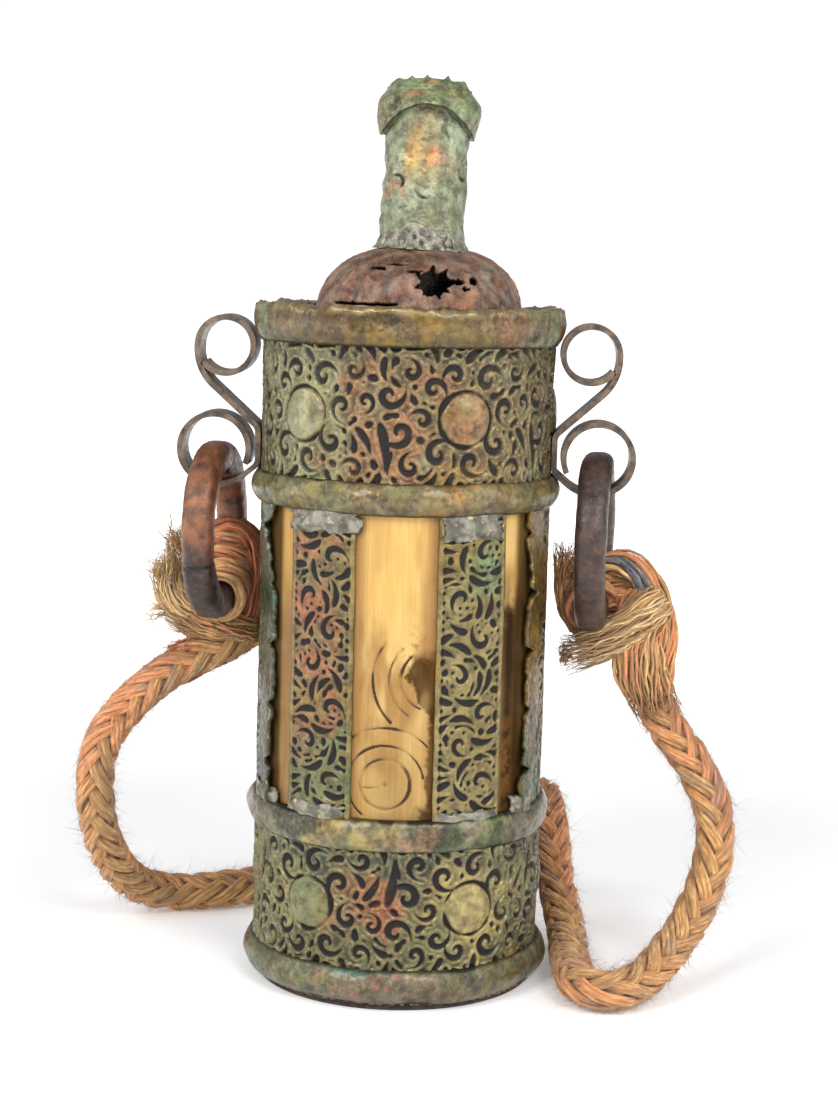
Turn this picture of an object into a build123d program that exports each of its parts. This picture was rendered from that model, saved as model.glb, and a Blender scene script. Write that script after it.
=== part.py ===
"""Carrying flask: bone staves round a wooden core, bound with embossed brass, with an iron shoulder dome,
a capped neck, two scroll lugs, two iron rings and a plaited rope strap.

Z is up from the floor, the front faces -Y, and X runs from the left lug to the right lug.
The origin is the centre of the base, on the floor.
"""

import os
from math import cos, radians, sin, tan

from build123d import *

# Body, from the inside out
CORE_INNER = 21.0  # radius of the vessel's hollow
CORE_OUTER = 24.9
STAVE_INNER = 24.95
STAVE_OUTER = 27.55
SHEET_INNER = 27.6  # brass sheet over the bone
SHEET_OUTER = 28.4
HOOP_INNER = 28.45  # mouldings over the sheet
GAP = 0.05  # film of glue or solder between two pieces
STAVE_COUNT = 8
STAVE_JOINT = 0.25  # open angle between two staves, in degrees

# Heights above the floor
FOOT = 1.3
FOOT_EDGE = 0.5  # inset and chamfer round the foot
FOOT_PLUG = 5.0  # rise of the plug that centres the foot in the core
BODY_TOP = 131.6
LOWER_BAND_TOP = 34.0
UPPER_BAND_FOOT = 98.0
BASE_RING = (1.35, 8.2, 30.4)  # low edge, high edge, outside radius
LOWER_BELT = (30.9, 37.3, 30.0)
UPPER_BELT = (94.7, 101.1, 30.2)
RIM = (126.0, 132.5, 30.3)
RIM_LIP = 0.9  # thickness of the flat lip turned in over the dome's flange
RIM_LIP_RADIUS = 22.6
RIM_EDGE = (0.9, 1.6)  # how far the lip's outer edge stands inside the bulge, below and above

# Brass pieces over the window zone, as degrees from the front
STRAP_CENTRE = 30.6
STRAP_SPAN = 29.0
SIDE_PLATE_SPAN = 67.0

# Dome and neck group. The neck's axis stands a little off centre and leans to the right.
NECK_LEAN = 1.7
NECK_SHIFT = 1.8  # of the axis, where it leaves the dome
LID_FOOT = 124.0
DOME_TOP = 144.0
DOME_WALL = 0.8
DOME_FOOT_RADIUS = 20.2
DOME_FLANGE = 5.0  # width of the flat rim under the hoop's lip
DOME_OPENING = 8.8
DOME_WAIST = (14.9, 139.0)  # radius and height of a point on the curve between foot and opening
DOME_HOLE = (5.2, 137.6)  # X and Z
DOME_HOLE_RADIUS = 2.6
DOME_HOLE_SIDES = 7
FILLET_FLARE = 1.7  # spread of the solder at the neck's foot
FILLET_RISE = 2.0
FILLET_LIFT = 0.35  # clearance of the solder above the dome's edge

# Along the neck's axis, from the lid's foot
NECK_OUTER = 8.1
NECK_INNER = 7.3
NECK_LENGTH = 49.3
CAP_LOW = 41.2
CAP_TOP = 53.6
CAP_BORE = NECK_OUTER + 0.1
CAP_SIDE = ((8.9, CAP_LOW), (9.85, 45.6), (8.8, 50.2))  # radius and height: foot, bulge, shoulder
CAP_CROWN = ((7.3, 52.2), (4.8, 53.25))
CAP_ROOF = ((CAP_BORE, 50.0), (5.0, 52.2), (0, 52.6))  # inside, from the bore to the middle
STOPPER_RADIUS = NECK_INNER - 0.08
STOPPER_DEPTH = 12.5
STOPPER_EDGE = 0.8
STOPPER_CROWN = ((6.6, NECK_LENGTH + GAP), (6.5, 51.1), (4.9, 52.15))  # above the neck, inside the cap

# Lugs, of flat strip, in the XZ plane on the right-hand side
STRIP = 1.1
STRIP_WIDTH = 8.5
UPPER_CURL = (35.6, 124.6)
UPPER_CURL_RADIUS = 5.45
LOWER_CURL = (37.6, 104.4)
LOWER_CURL_RADIUS = 6.75
STRIP_AT_BODY = SHEET_OUTER + GAP + STRIP / 2

# Rings, hitches and rope
WIRE = 3.4
RING_RADIUS = 14.6
RING_TWIST = 5.5  # degrees that each ring hangs out of the YZ plane, near side to the left
RING_PLAY = 1.0  # gap under the wire in its curl, which its curve needs
RING_TOP = LOWER_CURL[1] - LOWER_CURL_RADIUS + STRIP / 2 + RING_PLAY + WIRE
ROPE = 4.2
WRAP = 6.2  # outside radius of the turns of rope round a ring's wire
WRAP_SPAN = 60.0

neck_plane = Plane(
    origin=(NECK_SHIFT - (DOME_TOP - LID_FOOT) * tan(radians(NECK_LEAN)), 0, LID_FOOT),
    z_dir=(sin(radians(NECK_LEAN)), 0, cos(radians(NECK_LEAN))),
)
parts = {}


def keep(name, builder):
    """Labels a finished piece and files it under its node name."""
    builder.part.label = name
    parts[name] = builder.part


def tube(name, inner, outer, low, high):
    """A plain round tube on the body's axis."""
    with BuildPart() as piece:
        with BuildSketch(Plane.XY.offset(low)):
            Circle(outer)
            Circle(inner, mode=Mode.SUBTRACT)
        extrude(amount=high - low)
    keep(name, piece)


def sector(name, inner, outer, middle, span, low, high):
    """A curved plate: a slice of a tube, centred on an angle measured from the front towards +X."""
    start = middle - 90 - span / 2
    with BuildPart() as piece:
        with BuildSketch(Plane.XY.offset(low)):
            with BuildLine():
                outside = CenterArc((0, 0), outer, start, span)
                inside = CenterArc((0, 0), inner, start, span)
                Line(outside @ 0, inside @ 0)
                Line(outside @ 1, inside @ 1)
            make_face()
        extrude(amount=high - low)
    keep(name, piece)


def hoop(name, low, high, bulge):
    """A half-round moulding bent round the body."""
    with BuildPart() as piece:
        with BuildSketch(Plane.XZ):
            with BuildLine():
                ThreePointArc((HOOP_INNER, low), (bulge, (low + high) / 2), (HOOP_INNER, high))
                Line((HOOP_INNER, high), (HOOP_INNER, low))
            make_face()
        revolve(axis=Axis.Z)
    keep(name, piece)


# The vessel
with BuildPart() as base_disc:
    with BuildSketch():
        Circle(SHEET_OUTER - FOOT_EDGE)
    extrude(amount=FOOT)
    with BuildSketch(Plane.XY.offset(FOOT)):
        Circle(CORE_INNER - GAP)
    extrude(amount=FOOT_PLUG)
    chamfer(base_disc.edges().sort_by(Axis.Z)[0], FOOT_EDGE)
keep("base_disc", base_disc)

tube("core_tube", CORE_INNER, CORE_OUTER, FOOT + GAP, BODY_TOP)

with BuildPart() as core_lid:
    with BuildSketch(Plane.XY.offset(LID_FOOT)):
        Circle(CORE_INNER - GAP)
    extrude(amount=BODY_TOP - LID_FOOT)
    with BuildSketch(neck_plane):
        Circle(NECK_OUTER + GAP)
    extrude(amount=2 * (BODY_TOP - LID_FOOT), both=True, mode=Mode.SUBTRACT)
keep("core_lid", core_lid)

STAVE_NAMES = ("front", "front_right", "right", "back_right", "back", "back_left", "left", "front_left")
stave_span = 360 / STAVE_COUNT
for index, place in enumerate(STAVE_NAMES):
    sector(
        f"bone_stave_{place}",
        STAVE_INNER,
        STAVE_OUTER,
        index * stave_span,
        stave_span - STAVE_JOINT,
        FOOT + GAP,
        BODY_TOP,
    )

# Brass sheet over the bone
tube("lower_band", SHEET_INNER, SHEET_OUTER, FOOT + GAP, LOWER_BAND_TOP)
tube("upper_band", SHEET_INNER, SHEET_OUTER, UPPER_BAND_FOOT, BODY_TOP)
window = (LOWER_BAND_TOP + GAP, UPPER_BAND_FOOT - GAP)
STRAP_PLACES = {
    "strap_front_left": -STRAP_CENTRE,
    "strap_front_right": STRAP_CENTRE,
    "strap_back_right": 180 - STRAP_CENTRE,
    "strap_back_left": 180 + STRAP_CENTRE,
}
for name, angle in STRAP_PLACES.items():
    sector(name, SHEET_INNER, SHEET_OUTER, angle, STRAP_SPAN, *window)
sector("side_plate_left", SHEET_INNER, SHEET_OUTER, -90, SIDE_PLATE_SPAN, *window)
sector("side_plate_right", SHEET_INNER, SHEET_OUTER, 90, SIDE_PLATE_SPAN, *window)

# Mouldings
hoop("base_ring", *BASE_RING)
hoop("lower_belt", *LOWER_BELT)
hoop("upper_belt", *UPPER_BELT)

with BuildPart() as rim_hoop:
    low, high, bulge = RIM
    edge_low, edge_high = (bulge - inset for inset in RIM_EDGE)
    with BuildSketch(Plane.XZ):
        with BuildLine():
            ThreePointArc((HOOP_INNER, low), (bulge, (low + high) / 2), (edge_low, high))
            Polyline(
                (edge_low, high),
                (edge_high, high + RIM_LIP),
                (RIM_LIP_RADIUS, high + RIM_LIP),
                (RIM_LIP_RADIUS, high),
                (HOOP_INNER, high),
                (HOOP_INNER, low),
            )
        make_face()
    revolve(axis=Axis.Z)
keep("rim_hoop", rim_hoop)

# The iron dome, with a flange that the rim's lip holds down and a hole that rust has eaten through
dome_plane = Plane(origin=(NECK_SHIFT, 0, 0), x_dir=(1, 0, 0), z_dir=(0, -1, 0))
flange_low = BODY_TOP + GAP
flange_high = flange_low + DOME_WALL
inner_waist = tuple(place - DOME_WALL for place in DOME_WAIST)
with BuildPart() as dome:
    with BuildSketch(dome_plane):
        with BuildLine():
            outer_arc = ThreePointArc(
                (DOME_FOOT_RADIUS, flange_high), DOME_WAIST, (DOME_OPENING, DOME_TOP)
            )
            inner_arc = ThreePointArc(
                (DOME_FOOT_RADIUS - DOME_WALL, flange_low), inner_waist, (DOME_OPENING, DOME_TOP - DOME_WALL)
            )
            Line(outer_arc @ 1, inner_arc @ 1)
            Polyline(
                outer_arc @ 0,
                (DOME_FOOT_RADIUS + DOME_FLANGE, flange_high),
                (DOME_FOOT_RADIUS + DOME_FLANGE, flange_low),
                inner_arc @ 0,
            )
        make_face()
    revolve(axis=Axis((NECK_SHIFT, 0, 0), (0, 0, 1)))
    with BuildSketch(Plane.XZ):
        with Locations(DOME_HOLE):
            RegularPolygon(DOME_HOLE_RADIUS, DOME_HOLE_SIDES)
    extrude(amount=DOME_FOOT_RADIUS, mode=Mode.SUBTRACT)
keep("dome", dome)

# The neck and its cap, on the leaning axis. Heights here are measured along that axis from the lid's foot.
with BuildPart() as neck_tube:
    with BuildSketch(neck_plane):
        Circle(NECK_OUTER)
        Circle(NECK_INNER, mode=Mode.SUBTRACT)
    extrude(amount=NECK_LENGTH)
keep("neck_tube", neck_tube)

neck_section = Plane(origin=neck_plane.origin, x_dir=neck_plane.x_dir, z_dir=-neck_plane.y_dir)
neck_axis = Axis(neck_plane.origin, neck_plane.z_dir)
with BuildPart() as neck_fillet:
    foot = DOME_TOP - LID_FOOT + FILLET_LIFT
    inside = NECK_OUTER + GAP
    outside = NECK_OUTER + FILLET_FLARE
    hollow = (NECK_OUTER + FILLET_FLARE * 0.38, foot + FILLET_RISE * 0.35)
    with BuildSketch(neck_section):
        with BuildLine():
            ThreePointArc((outside, foot), hollow, (inside, foot + FILLET_RISE))
            Polyline((inside, foot + FILLET_RISE), (inside, foot), (outside, foot))
        make_face()
    revolve(axis=neck_axis)
keep("neck_fillet", neck_fillet)

with BuildPart() as cap:
    with BuildSketch(neck_section):
        with BuildLine():
            side = ThreePointArc(*CAP_SIDE)
            crown = ThreePointArc(side @ 1, *CAP_CROWN)
            Polyline(crown @ 1, (0, CAP_TOP), *reversed(CAP_ROOF), (CAP_BORE, CAP_LOW), side @ 0)
        make_face()
    revolve(axis=neck_axis)
keep("cap", cap)

with BuildPart() as stopper:
    stopper_foot = NECK_LENGTH - STOPPER_DEPTH
    with BuildSketch(neck_section):
        with BuildLine():
            Polyline(
                (0, stopper_foot),
                (STOPPER_RADIUS - STOPPER_EDGE, stopper_foot),
                (STOPPER_RADIUS, stopper_foot + STOPPER_EDGE),
                (STOPPER_RADIUS, NECK_LENGTH + GAP),
                *STOPPER_CROWN,
                (0, STOPPER_CROWN[-1][1]),
                (0, stopper_foot),
            )
        make_face()
    revolve(axis=neck_axis)
keep("stopper", stopper)


def curl(centre, radius, tip, turn, leave, swell):
    """A strip curled clockwise from its free tip to turn, then on an arc wider by swell until it leaves."""
    tight = CenterArc(centre, radius, tip, turn - tip)
    wide = (centre[0] - swell * cos(radians(turn)), centre[1] - swell * sin(radians(turn)))
    return tight, CenterArc(wide, radius + swell, turn, leave - turn)


def corner(end, leave):
    """Where the straight run from a curl's end meets the strip's line on the body, in the lug's own plane."""
    return (STRIP_AT_BODY, end.Z + (abs(end.X) - STRIP_AT_BODY) / tan(radians(leave)))


# One strip makes each lug: a curl, a slanting run down to the body, a short run soldered to it,
# and a lower curl.
# Each curl is its free tip, the turn and the leaving point as angles in degrees, and its swell.
UPPER_TURNS = (-36, -350, -408, 4.1)
LOWER_TURNS = (205, -60, -130, 1.4)
STRIP_BEND = 2.0
for side_name, sign in (("left", -1), ("right", 1)):
    lug_plane = Plane(origin=(0, 0, 0), x_dir=(sign, 0, 0), z_dir=(0, -sign, 0))
    with BuildPart() as lug:
        with BuildLine(lug_plane):
            upper_tip, upper = curl(UPPER_CURL, UPPER_CURL_RADIUS, *UPPER_TURNS)
            lower_tip, lower = curl(LOWER_CURL, LOWER_CURL_RADIUS, *LOWER_TURNS)
            FilletPolyline(
                (abs((upper @ 1).X), (upper @ 1).Z),
                corner(upper @ 1, UPPER_TURNS[2]),
                corner(lower @ 1, LOWER_TURNS[2]),
                (abs((lower @ 1).X), (lower @ 1).Z),
                radius=STRIP_BEND,
            )
        with BuildSketch(Plane(origin=upper_tip @ 0, x_dir=(0, 1, 0), z_dir=upper_tip % 0)):
            Rectangle(STRIP_WIDTH, STRIP)
        sweep(clean=False)
    keep(f"lug_{side_name}", lug)

# Each iron ring hangs through a lower curl. A rope hitch is wound round its far side and knotted
# outside it: the angle where the turns start, from the far side towards the top, and the knot's
# lumps as x, y, z and radius.
HITCHES = {
    "left": (-66, ((-33.6, 12.5, 67.6, 5.1),)),
    "right": (-78, ((46.0, 4.6, 73.5, 5.8), (48.6, 5.4, 66.4, 4.8))),
}
across = Vector(cos(radians(RING_TWIST)), -sin(radians(RING_TWIST)), 0)
along = Vector(sin(radians(RING_TWIST)), cos(radians(RING_TWIST)), 0)
for side_name, (wrap_start, knot) in HITCHES.items():
    sign = -1 if side_name == "left" else 1
    middle = Vector(sign * LOWER_CURL[0], 0, RING_TOP - RING_RADIUS)
    ring_plane = Plane(origin=middle, x_dir=along, z_dir=across)
    with BuildPart() as ring:
        with Locations(ring_plane):
            Torus(RING_RADIUS, WIRE)
    keep(f"ring_{side_name}", ring)

    radial = along * cos(radians(wrap_start)) + Vector(0, 0, 1) * sin(radians(wrap_start))
    wrap_plane = Plane(origin=middle + radial * RING_RADIUS, x_dir=radial, z_dir=across.cross(radial))
    with BuildPart() as hitch:
        with BuildSketch(wrap_plane):
            Circle(WRAP)
        revolve(axis=Axis(middle, across), revolution_arc=WRAP_SPAN)
        for *place, size in knot:
            with Locations(tuple(place)):
                Sphere(size)
        with Locations(ring_plane):
            Torus(RING_RADIUS, WIRE + GAP, mode=Mode.SUBTRACT)
    keep(f"hitch_{side_name}", hitch)

# The rope strap leaves both hitches, hangs to the floor and runs round behind the flask
floor = ROPE + 0.1
rope_path = [
    (-46.0, 8.4, 58.6),
    (-49.6, 7.7, 56.2),
    (-56.3, 7, 50),
    (-61.0, 6.4, 43),
    (-62.6, 6.6, 36),
    (-62.8, 8.2, 28.4),
    (-62.0, 12.4, 20.5),
    (-60.0, 18.5, 13),
    (-56.4, 25.6, 7),
    (-50.2, 30.4, floor),
    (-42.0, 32.6, floor),
    (-32.8, 38, floor),
    (-20.0, 47, floor),
    (-5.0, 55, 5.4),
    (10.0, 57.5, 11),
    (22.5, 52.5, 19),
    (29.6, 42.5, 25.6),
    (31.6, 31.5, 21.7),
    (32.8, 21, 13.2),
    (35.0, 9, 6.2),
    (35.4, -2, floor),
    (35.9, -12, floor),
    (37.6, -20.6, floor),
    (42.6, -24.0, floor),
    (49.2, -19.2, 5.4),
    (55.5, -11.6, 10),
    (60.3, -5.4, 16),
    (63.2, -1.2, 23),
    (63.9, 1, 29.5),
    (62.8, 2.8, 35.8),
    (59.4, 3.9, 42.4),
    (55.7, 4.7, 47.6),
    (51.9, 5.4, 53),
    (50.5, 5.6, 57.5),
]
with BuildPart() as rope_strap:
    with BuildLine():
        run = Spline(*rope_path)
    with BuildSketch(Plane(origin=run @ 0, z_dir=run % 0)):
        Circle(ROPE)
    sweep()
keep("rope_strap", rope_strap)

os.makedirs("parts", exist_ok=True)
for name, part in parts.items():
    export_step(part, f"parts/{name}.step")
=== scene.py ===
"""Looks for the carrying flask: every shown surface is rebuilt here with its ornament, wear and patina.

Lengths are in millimetres until a mesh is made. Angles round the body are in degrees from the front (-Y)
towards +X. The frame gives the bodies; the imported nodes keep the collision.
"""
import itertools

import bpy
import numpy as np
from mathutils import Matrix, Vector


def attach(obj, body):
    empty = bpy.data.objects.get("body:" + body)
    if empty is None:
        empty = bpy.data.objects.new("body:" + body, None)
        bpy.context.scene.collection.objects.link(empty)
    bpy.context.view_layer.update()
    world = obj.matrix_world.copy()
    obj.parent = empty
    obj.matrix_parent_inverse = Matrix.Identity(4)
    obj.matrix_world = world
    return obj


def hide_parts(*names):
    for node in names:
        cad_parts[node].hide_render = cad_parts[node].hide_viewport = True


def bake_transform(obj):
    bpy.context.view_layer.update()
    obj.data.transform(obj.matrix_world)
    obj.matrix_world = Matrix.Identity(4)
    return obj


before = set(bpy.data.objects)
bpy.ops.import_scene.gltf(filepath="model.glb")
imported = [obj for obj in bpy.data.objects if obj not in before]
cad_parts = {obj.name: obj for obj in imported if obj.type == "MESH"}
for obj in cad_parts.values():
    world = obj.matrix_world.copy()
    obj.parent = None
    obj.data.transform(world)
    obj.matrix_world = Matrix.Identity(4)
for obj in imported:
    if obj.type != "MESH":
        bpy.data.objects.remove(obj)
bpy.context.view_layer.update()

MM = 0.001
SEED = 11

# ---------------------------------------------------------------------------------------------- numbers


def hashed(cell, seed):
    """A repeatable number from 0 to 1 for each whole-number cell."""
    cell = cell.astype(np.uint64)
    mix = cell[..., 0] * np.uint64(374761393) + cell[..., 1] * np.uint64(668265263)
    mix = mix + cell[..., 2] * np.uint64(1442695041) + np.uint64(974634777 * (seed + 1))
    mask = np.uint64(0xFFFFFFFF)
    mix = mix & mask
    mix = ((mix ^ (mix >> np.uint64(15))) * np.uint64(2246822519)) & mask
    mix = ((mix ^ (mix >> np.uint64(13))) * np.uint64(3266489917)) & mask
    return (mix ^ (mix >> np.uint64(16))) / float(0xFFFFFFFF)


def noise(points, size, seed=0, octaves=1):
    """Smooth noise, about -1 to 1, with features about size across. Octaves add finer ones at half weight."""
    total, reach = 0, 0
    for octave in range(octaves):
        scaled = points / size * 2**octave + 100.0 + 17.3 * octave
        cell = np.floor(scaled)
        part = scaled - cell
        part = part * part * (3 - 2 * part)
        layer = 0
        for corner in itertools.product((0, 1), repeat=3):
            share = np.prod(np.where(corner, part, 1 - part), axis=-1)
            layer = layer + share * hashed((cell + corner).astype(np.int64), seed * 13 + octave)
        total = total + (3 * layer - 1.5) * 0.5**octave
        reach += 0.5**octave
    return total / reach


def smooth(value, low, high):
    """0 below low, 1 above high, and an S-curve between them. It also runs downhill if low is above high."""
    t = np.clip((value - low) / (high - low), 0, 1)
    return t * t * (3 - 2 * t)


def srgb(*colour):
    """Linear red, green and blue of a colour given in 0 to 255 screen values."""
    c = np.array(colour) / 255
    return np.where(c <= 0.04045, c / 12.92, ((c + 0.055) / 1.055) ** 2.4)


def patches(points, size, seed, *colours, sharp=5.0):
    """Colours blotched over the points. Each is (red, green, blue, share), and share may be an array."""
    weights, tints = [], []
    for index, (red, green, blue, share) in enumerate(colours):
        field = noise(points, size, seed + 31 * index, octaves=4)
        weights.append(np.exp(sharp * (field * 0.9 + share)))
        tints.append(srgb(red, green, blue))
    weights = np.stack(weights, -1)
    weights /= weights.sum(-1, keepdims=True)
    return weights @ np.array(tints)


def hump(value, centre, width):
    """1 at centre, falling to 0 over about twice width."""
    return np.exp(-(((value - centre) / width) ** 2))


def wrapped(angle):
    """An angle in degrees, brought to between -180 and 180."""
    return (angle + 180) % 360 - 180


def toward(tint, colour, amount):
    """tint mixed towards one colour by an array of amounts."""
    return tint + (srgb(*colour) - tint) * np.asarray(amount)[..., None]


def on_body(angle, radius, height):
    """Points round the body's axis, from angles in degrees."""
    a = np.radians(angle)
    return np.stack(np.broadcast_arrays(radius * np.sin(a), -radius * np.cos(a), height), -1)


# ----------------------------------------------------------------------------------------------- meshes


def lofted(rings, closed=False, **values):
    """A surface through rings of points, shaped (rings, points, 3), capped at both ends or closed on itself.
    values are named vertex values, shaped (rings, points) or (rings, points, 3)."""
    count, size = rings.shape[:2]
    i = np.arange(count if closed else count - 1)[:, None]
    j = np.arange(size)[None, :]
    k, m = (i + 1) % count, (j + 1) % size
    corners = [i * size + j, k * size + j, k * size + m, i * size + m]
    quads = np.stack(np.broadcast_arrays(*corners), -1).reshape(-1, 4)
    caps = [] if closed else [np.arange(size)[::-1], np.arange(size) + (count - 1) * size]
    points = rings.reshape(-1, 3)
    a, b, c, d = (points[quads[:, n]] for n in range(4))
    volume = np.einsum("ij,ij->", a - points.mean(0), np.cross(b - a, c - a) + np.cross(c - a, d - a))
    if volume > 0:
        caps = [cap[::-1] for cap in caps]
    else:
        quads = quads[:, ::-1]
    flat = {}
    for name, value in values.items():
        shape = rings.shape[: np.ndim(value)] if np.ndim(value) > 1 else rings.shape[:2] + np.shape(value)
        value = np.broadcast_to(value, shape)
        flat[name] = value.reshape((len(points), -1) if value.ndim == 3 else len(points))
    return {"points": points, "quads": quads, "caps": caps, "values": flat}


def padded(value, extra):
    """A vertex value for the outer rows, repeated for the extra points that close the section."""
    return np.concatenate([value, np.repeat(value[:, -1:], extra, 1)], 1)


def hoop(rings, extra, **values):
    """A surface closed round an axis. The last extra points of each ring only close its section."""
    return lofted(rings, closed=True, **{name: padded(value, extra) for name, value in values.items()})


def joined(parts):
    """Several surfaces as one. All of them have the same named values."""
    start, quads, caps = 0, [], []
    for part in parts:
        quads.append(part["quads"] + start)
        caps += [cap + start for cap in part["caps"]]
        start += len(part["points"])
    values = {name: np.concatenate([part["values"][name] for part in parts]) for name in parts[0]["values"]}
    points = np.concatenate([part["points"] for part in parts])
    return {"points": points, "quads": np.concatenate(quads), "caps": caps, "values": values}


def piece(name, surface, material, slot, body, *nodes):
    """Makes the object, puts it on its body and lets it stand for CAD nodes."""
    caps = surface["caps"]
    sizes = np.array([4] * len(surface["quads"]) + [len(cap) for cap in caps])
    order = np.concatenate([surface["quads"].ravel(), *caps]) if caps else surface["quads"].ravel()
    mesh = bpy.data.meshes.new(name)
    mesh.vertices.add(len(surface["points"]))
    mesh.vertices.foreach_set("co", (surface["points"] * MM).astype(np.float32).ravel())
    mesh.loops.add(len(order))
    mesh.loops.foreach_set("vertex_index", order.astype(np.int32))
    mesh.polygons.add(len(sizes))
    mesh.polygons.foreach_set("loop_start", (np.cumsum(sizes) - sizes).astype(np.int32))
    mesh.update(calc_edges=True)
    mesh.polygons.foreach_set("use_smooth", sizes == 4)
    for key, value in surface["values"].items():
        if value.ndim == 1:
            mesh.attributes.new(key, "FLOAT", "POINT").data.foreach_set("value", value.astype(np.float32))
        else:
            rgba = np.concatenate([value, np.ones((len(value), 1))], 1).astype(np.float32)
            mesh.attributes.new(key, "FLOAT_COLOR", "POINT").data.foreach_set("color", rgba.ravel())
    mesh.validate()
    mesh.materials.append(material)
    made = bpy.data.objects.new(name, mesh)
    bpy.context.scene.collection.objects.link(made)
    if body:
        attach(made, body)
    if nodes:
        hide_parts(*nodes)
    return made


# -------------------------------------------------------------------------------------------- materials


def node(tree, kind, inputs=None, **settings):
    """Adds a shader node. inputs maps an input's name or number to a value or to a socket to link."""
    made = tree.nodes.new("ShaderNode" + kind)
    for key, value in settings.items():
        setattr(made, key, value)
    for key, value in (inputs or {}).items():
        if isinstance(value, bpy.types.NodeSocket):
            tree.links.new(value, made.inputs[key])
        else:
            made.inputs[key].default_value = value
    return made


class Look:
    """A material under construction, with short names for the node groups that all of them use."""

    def __init__(self, name):
        self.material = bpy.data.materials.new(name)
        self.material.use_nodes = True
        self.tree = self.material.node_tree
        self.shader = self.tree.nodes["Principled BSDF"]
        metres = node(self.tree, "TexCoord").outputs["Object"]
        self.mm = node(self.tree, "VectorMath", {0: metres, "Scale": 1 / MM}, operation="SCALE").outputs[0]

    def value(self, name):
        return node(self.tree, "Attribute", attribute_name=name).outputs["Fac"]

    def tint(self, name="tint"):
        return node(self.tree, "Attribute", attribute_name=name).outputs["Color"]

    def stretched(self, x, y, z, vector=None):
        """The millimetre position, scaled on each axis, for grain that runs one way."""
        inputs = {0: vector or self.mm, 1: (x, y, z)}
        return node(self.tree, "VectorMath", inputs, operation="MULTIPLY").outputs[0]

    def spots(self, size, low, high, detail=4.0, vector=None, seed=0.0, rough=0.55):
        """Noise with features about size across, as 0 below low and 1 above high."""
        inputs = {"W": seed, "Scale": 1 / size, "Detail": detail, "Roughness": rough}
        inputs["Vector"] = vector or self.mm
        field = node(self.tree, "TexNoise", inputs, noise_dimensions="4D").outputs["Fac"]
        return self.ramp(field, low, high)

    def ramp(self, field, low, high, start=0.0, end=1.0):
        inputs = {"Value": field, "From Min": low, "From Max": high, "To Min": start, "To Max": end}
        return node(self.tree, "MapRange", inputs, interpolation_type="SMOOTHSTEP").outputs["Result"]

    def cells(self, size, low, high, vector=None):
        """Pits or grains about size across: 1 at each cell's middle, 0 further out."""
        inputs = {"Scale": 1 / size, "Vector": vector or self.mm}
        field = node(self.tree, "TexVoronoi", inputs).outputs["Distance"]
        return self.ramp(field, high, low)

    def mix(self, factor, first, second, blend="MIX"):
        first = (*first, 1) if isinstance(first, (tuple, np.ndarray)) else first
        second = (*second, 1) if isinstance(second, (tuple, np.ndarray)) else second
        inputs = {"Factor": factor, 6: first, 7: second}
        return node(self.tree, "Mix", inputs, data_type="RGBA", blend_type=blend).outputs[2]

    def times(self, first, second, operation="MULTIPLY"):
        return node(self.tree, "Math", {0: first, 1: second}, operation=operation).outputs[0]

    def plus(self, first, second):
        return self.times(first, second, "ADD")

    def set(self, **inputs):
        for key, value in inputs.items():
            socket = self.shader.inputs[key.replace("_", " ")]
            if isinstance(value, bpy.types.NodeSocket):
                self.tree.links.new(value, socket)
            else:
                socket.default_value = (*value, 1) if isinstance(value, (tuple, np.ndarray)) else value

    def bump(self, height, distance, strength=1.0):
        made = node(self.tree, "Bump", {"Height": height, "Distance": distance * MM, "Strength": strength})
        self.set(Normal=made.outputs["Normal"])


BROWN_STAIN = srgb(84, 58, 36)
BARE_BRASS = srgb(176, 154, 104)
TARNISHED = (0.56, 0.51, 0.45)
METALLIC_DULL, METALLIC_RUBBED = 0.27, 0.72


def patina(name, dark, dust, dust_share=0.3, shine=0.35, crust=0.04, tarnish=TARNISHED):
    """Old brass under verdigris: painted blotches, grime in the recesses, pale dust and rubbed high spots,
    which on the neck also carry a painted highlight.
    """
    look = Look(name)
    cloud = look.mix(look.spots(2.2, 0.32, 0.68, 8), (0.44, 0.42, 0.38), (1.30, 1.30, 1.24))
    colour = look.mix(1.0, look.mix(1.0, look.tint(), tarnish, "MULTIPLY"), cloud, "MULTIPLY")
    mottle = look.spots(0.9, 0.52, 0.68, 8, seed=3.0, rough=0.7)
    colour = look.mix(look.times(mottle, dust_share), colour, dust)
    stains = look.spots(1.2, 0.55, 0.68, 8, seed=9.0, rough=0.65)
    colour = look.mix(look.times(stains, 0.6), colour, BROWN_STAIN)
    uneven = look.times(look.spots(0.7, 0.2, 0.8, 4, seed=5.0), 0.25)
    grime = look.ramp(look.plus(look.value("recess"), uneven), 0.22, 0.95)
    colour = look.mix(grime, colour, dark)
    pits = look.cells(1.1, 0.04, 0.16)
    colour = look.mix(look.times(pits, 0.5), colour, dark)
    rubbed_and_sheen = look.times(look.value("wear"), look.spots(1.0, 0.42, 0.62, 6, seed=1.0))
    colour = look.mix(look.times(rubbed_and_sheen, 0.5), colour, BARE_BRASS)
    look.set(Base_Color=colour)
    rough = look.ramp(look.spots(1.1, 0.25, 0.75, 5, seed=7.0), 0, 1, 0.28, 0.66)
    look.set(Roughness=look.times(rough, look.ramp(rubbed_and_sheen, 0, 1, 1.0, 0.75)))
    look.set(Metallic=look.ramp(rubbed_and_sheen, 0, 1, METALLIC_DULL, METALLIC_RUBBED))
    look.set(Coat_Weight=look.ramp(grime, 0, 1, shine, 0.0), Coat_Roughness=0.2)
    look.set(Specular_IOR_Level=look.ramp(grime, 0, 1, 0.4, 0.08))
    fine, coarse = look.spots(0.6, 0.2, 0.8, 6, seed=2.0), look.spots(2.2, 0.3, 0.7, 3, seed=4.0)
    height = look.plus(fine, look.times(coarse, 1.5))
    look.bump(look.plus(height, look.times(pits, -0.8)), crust)
    return look.material


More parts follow.
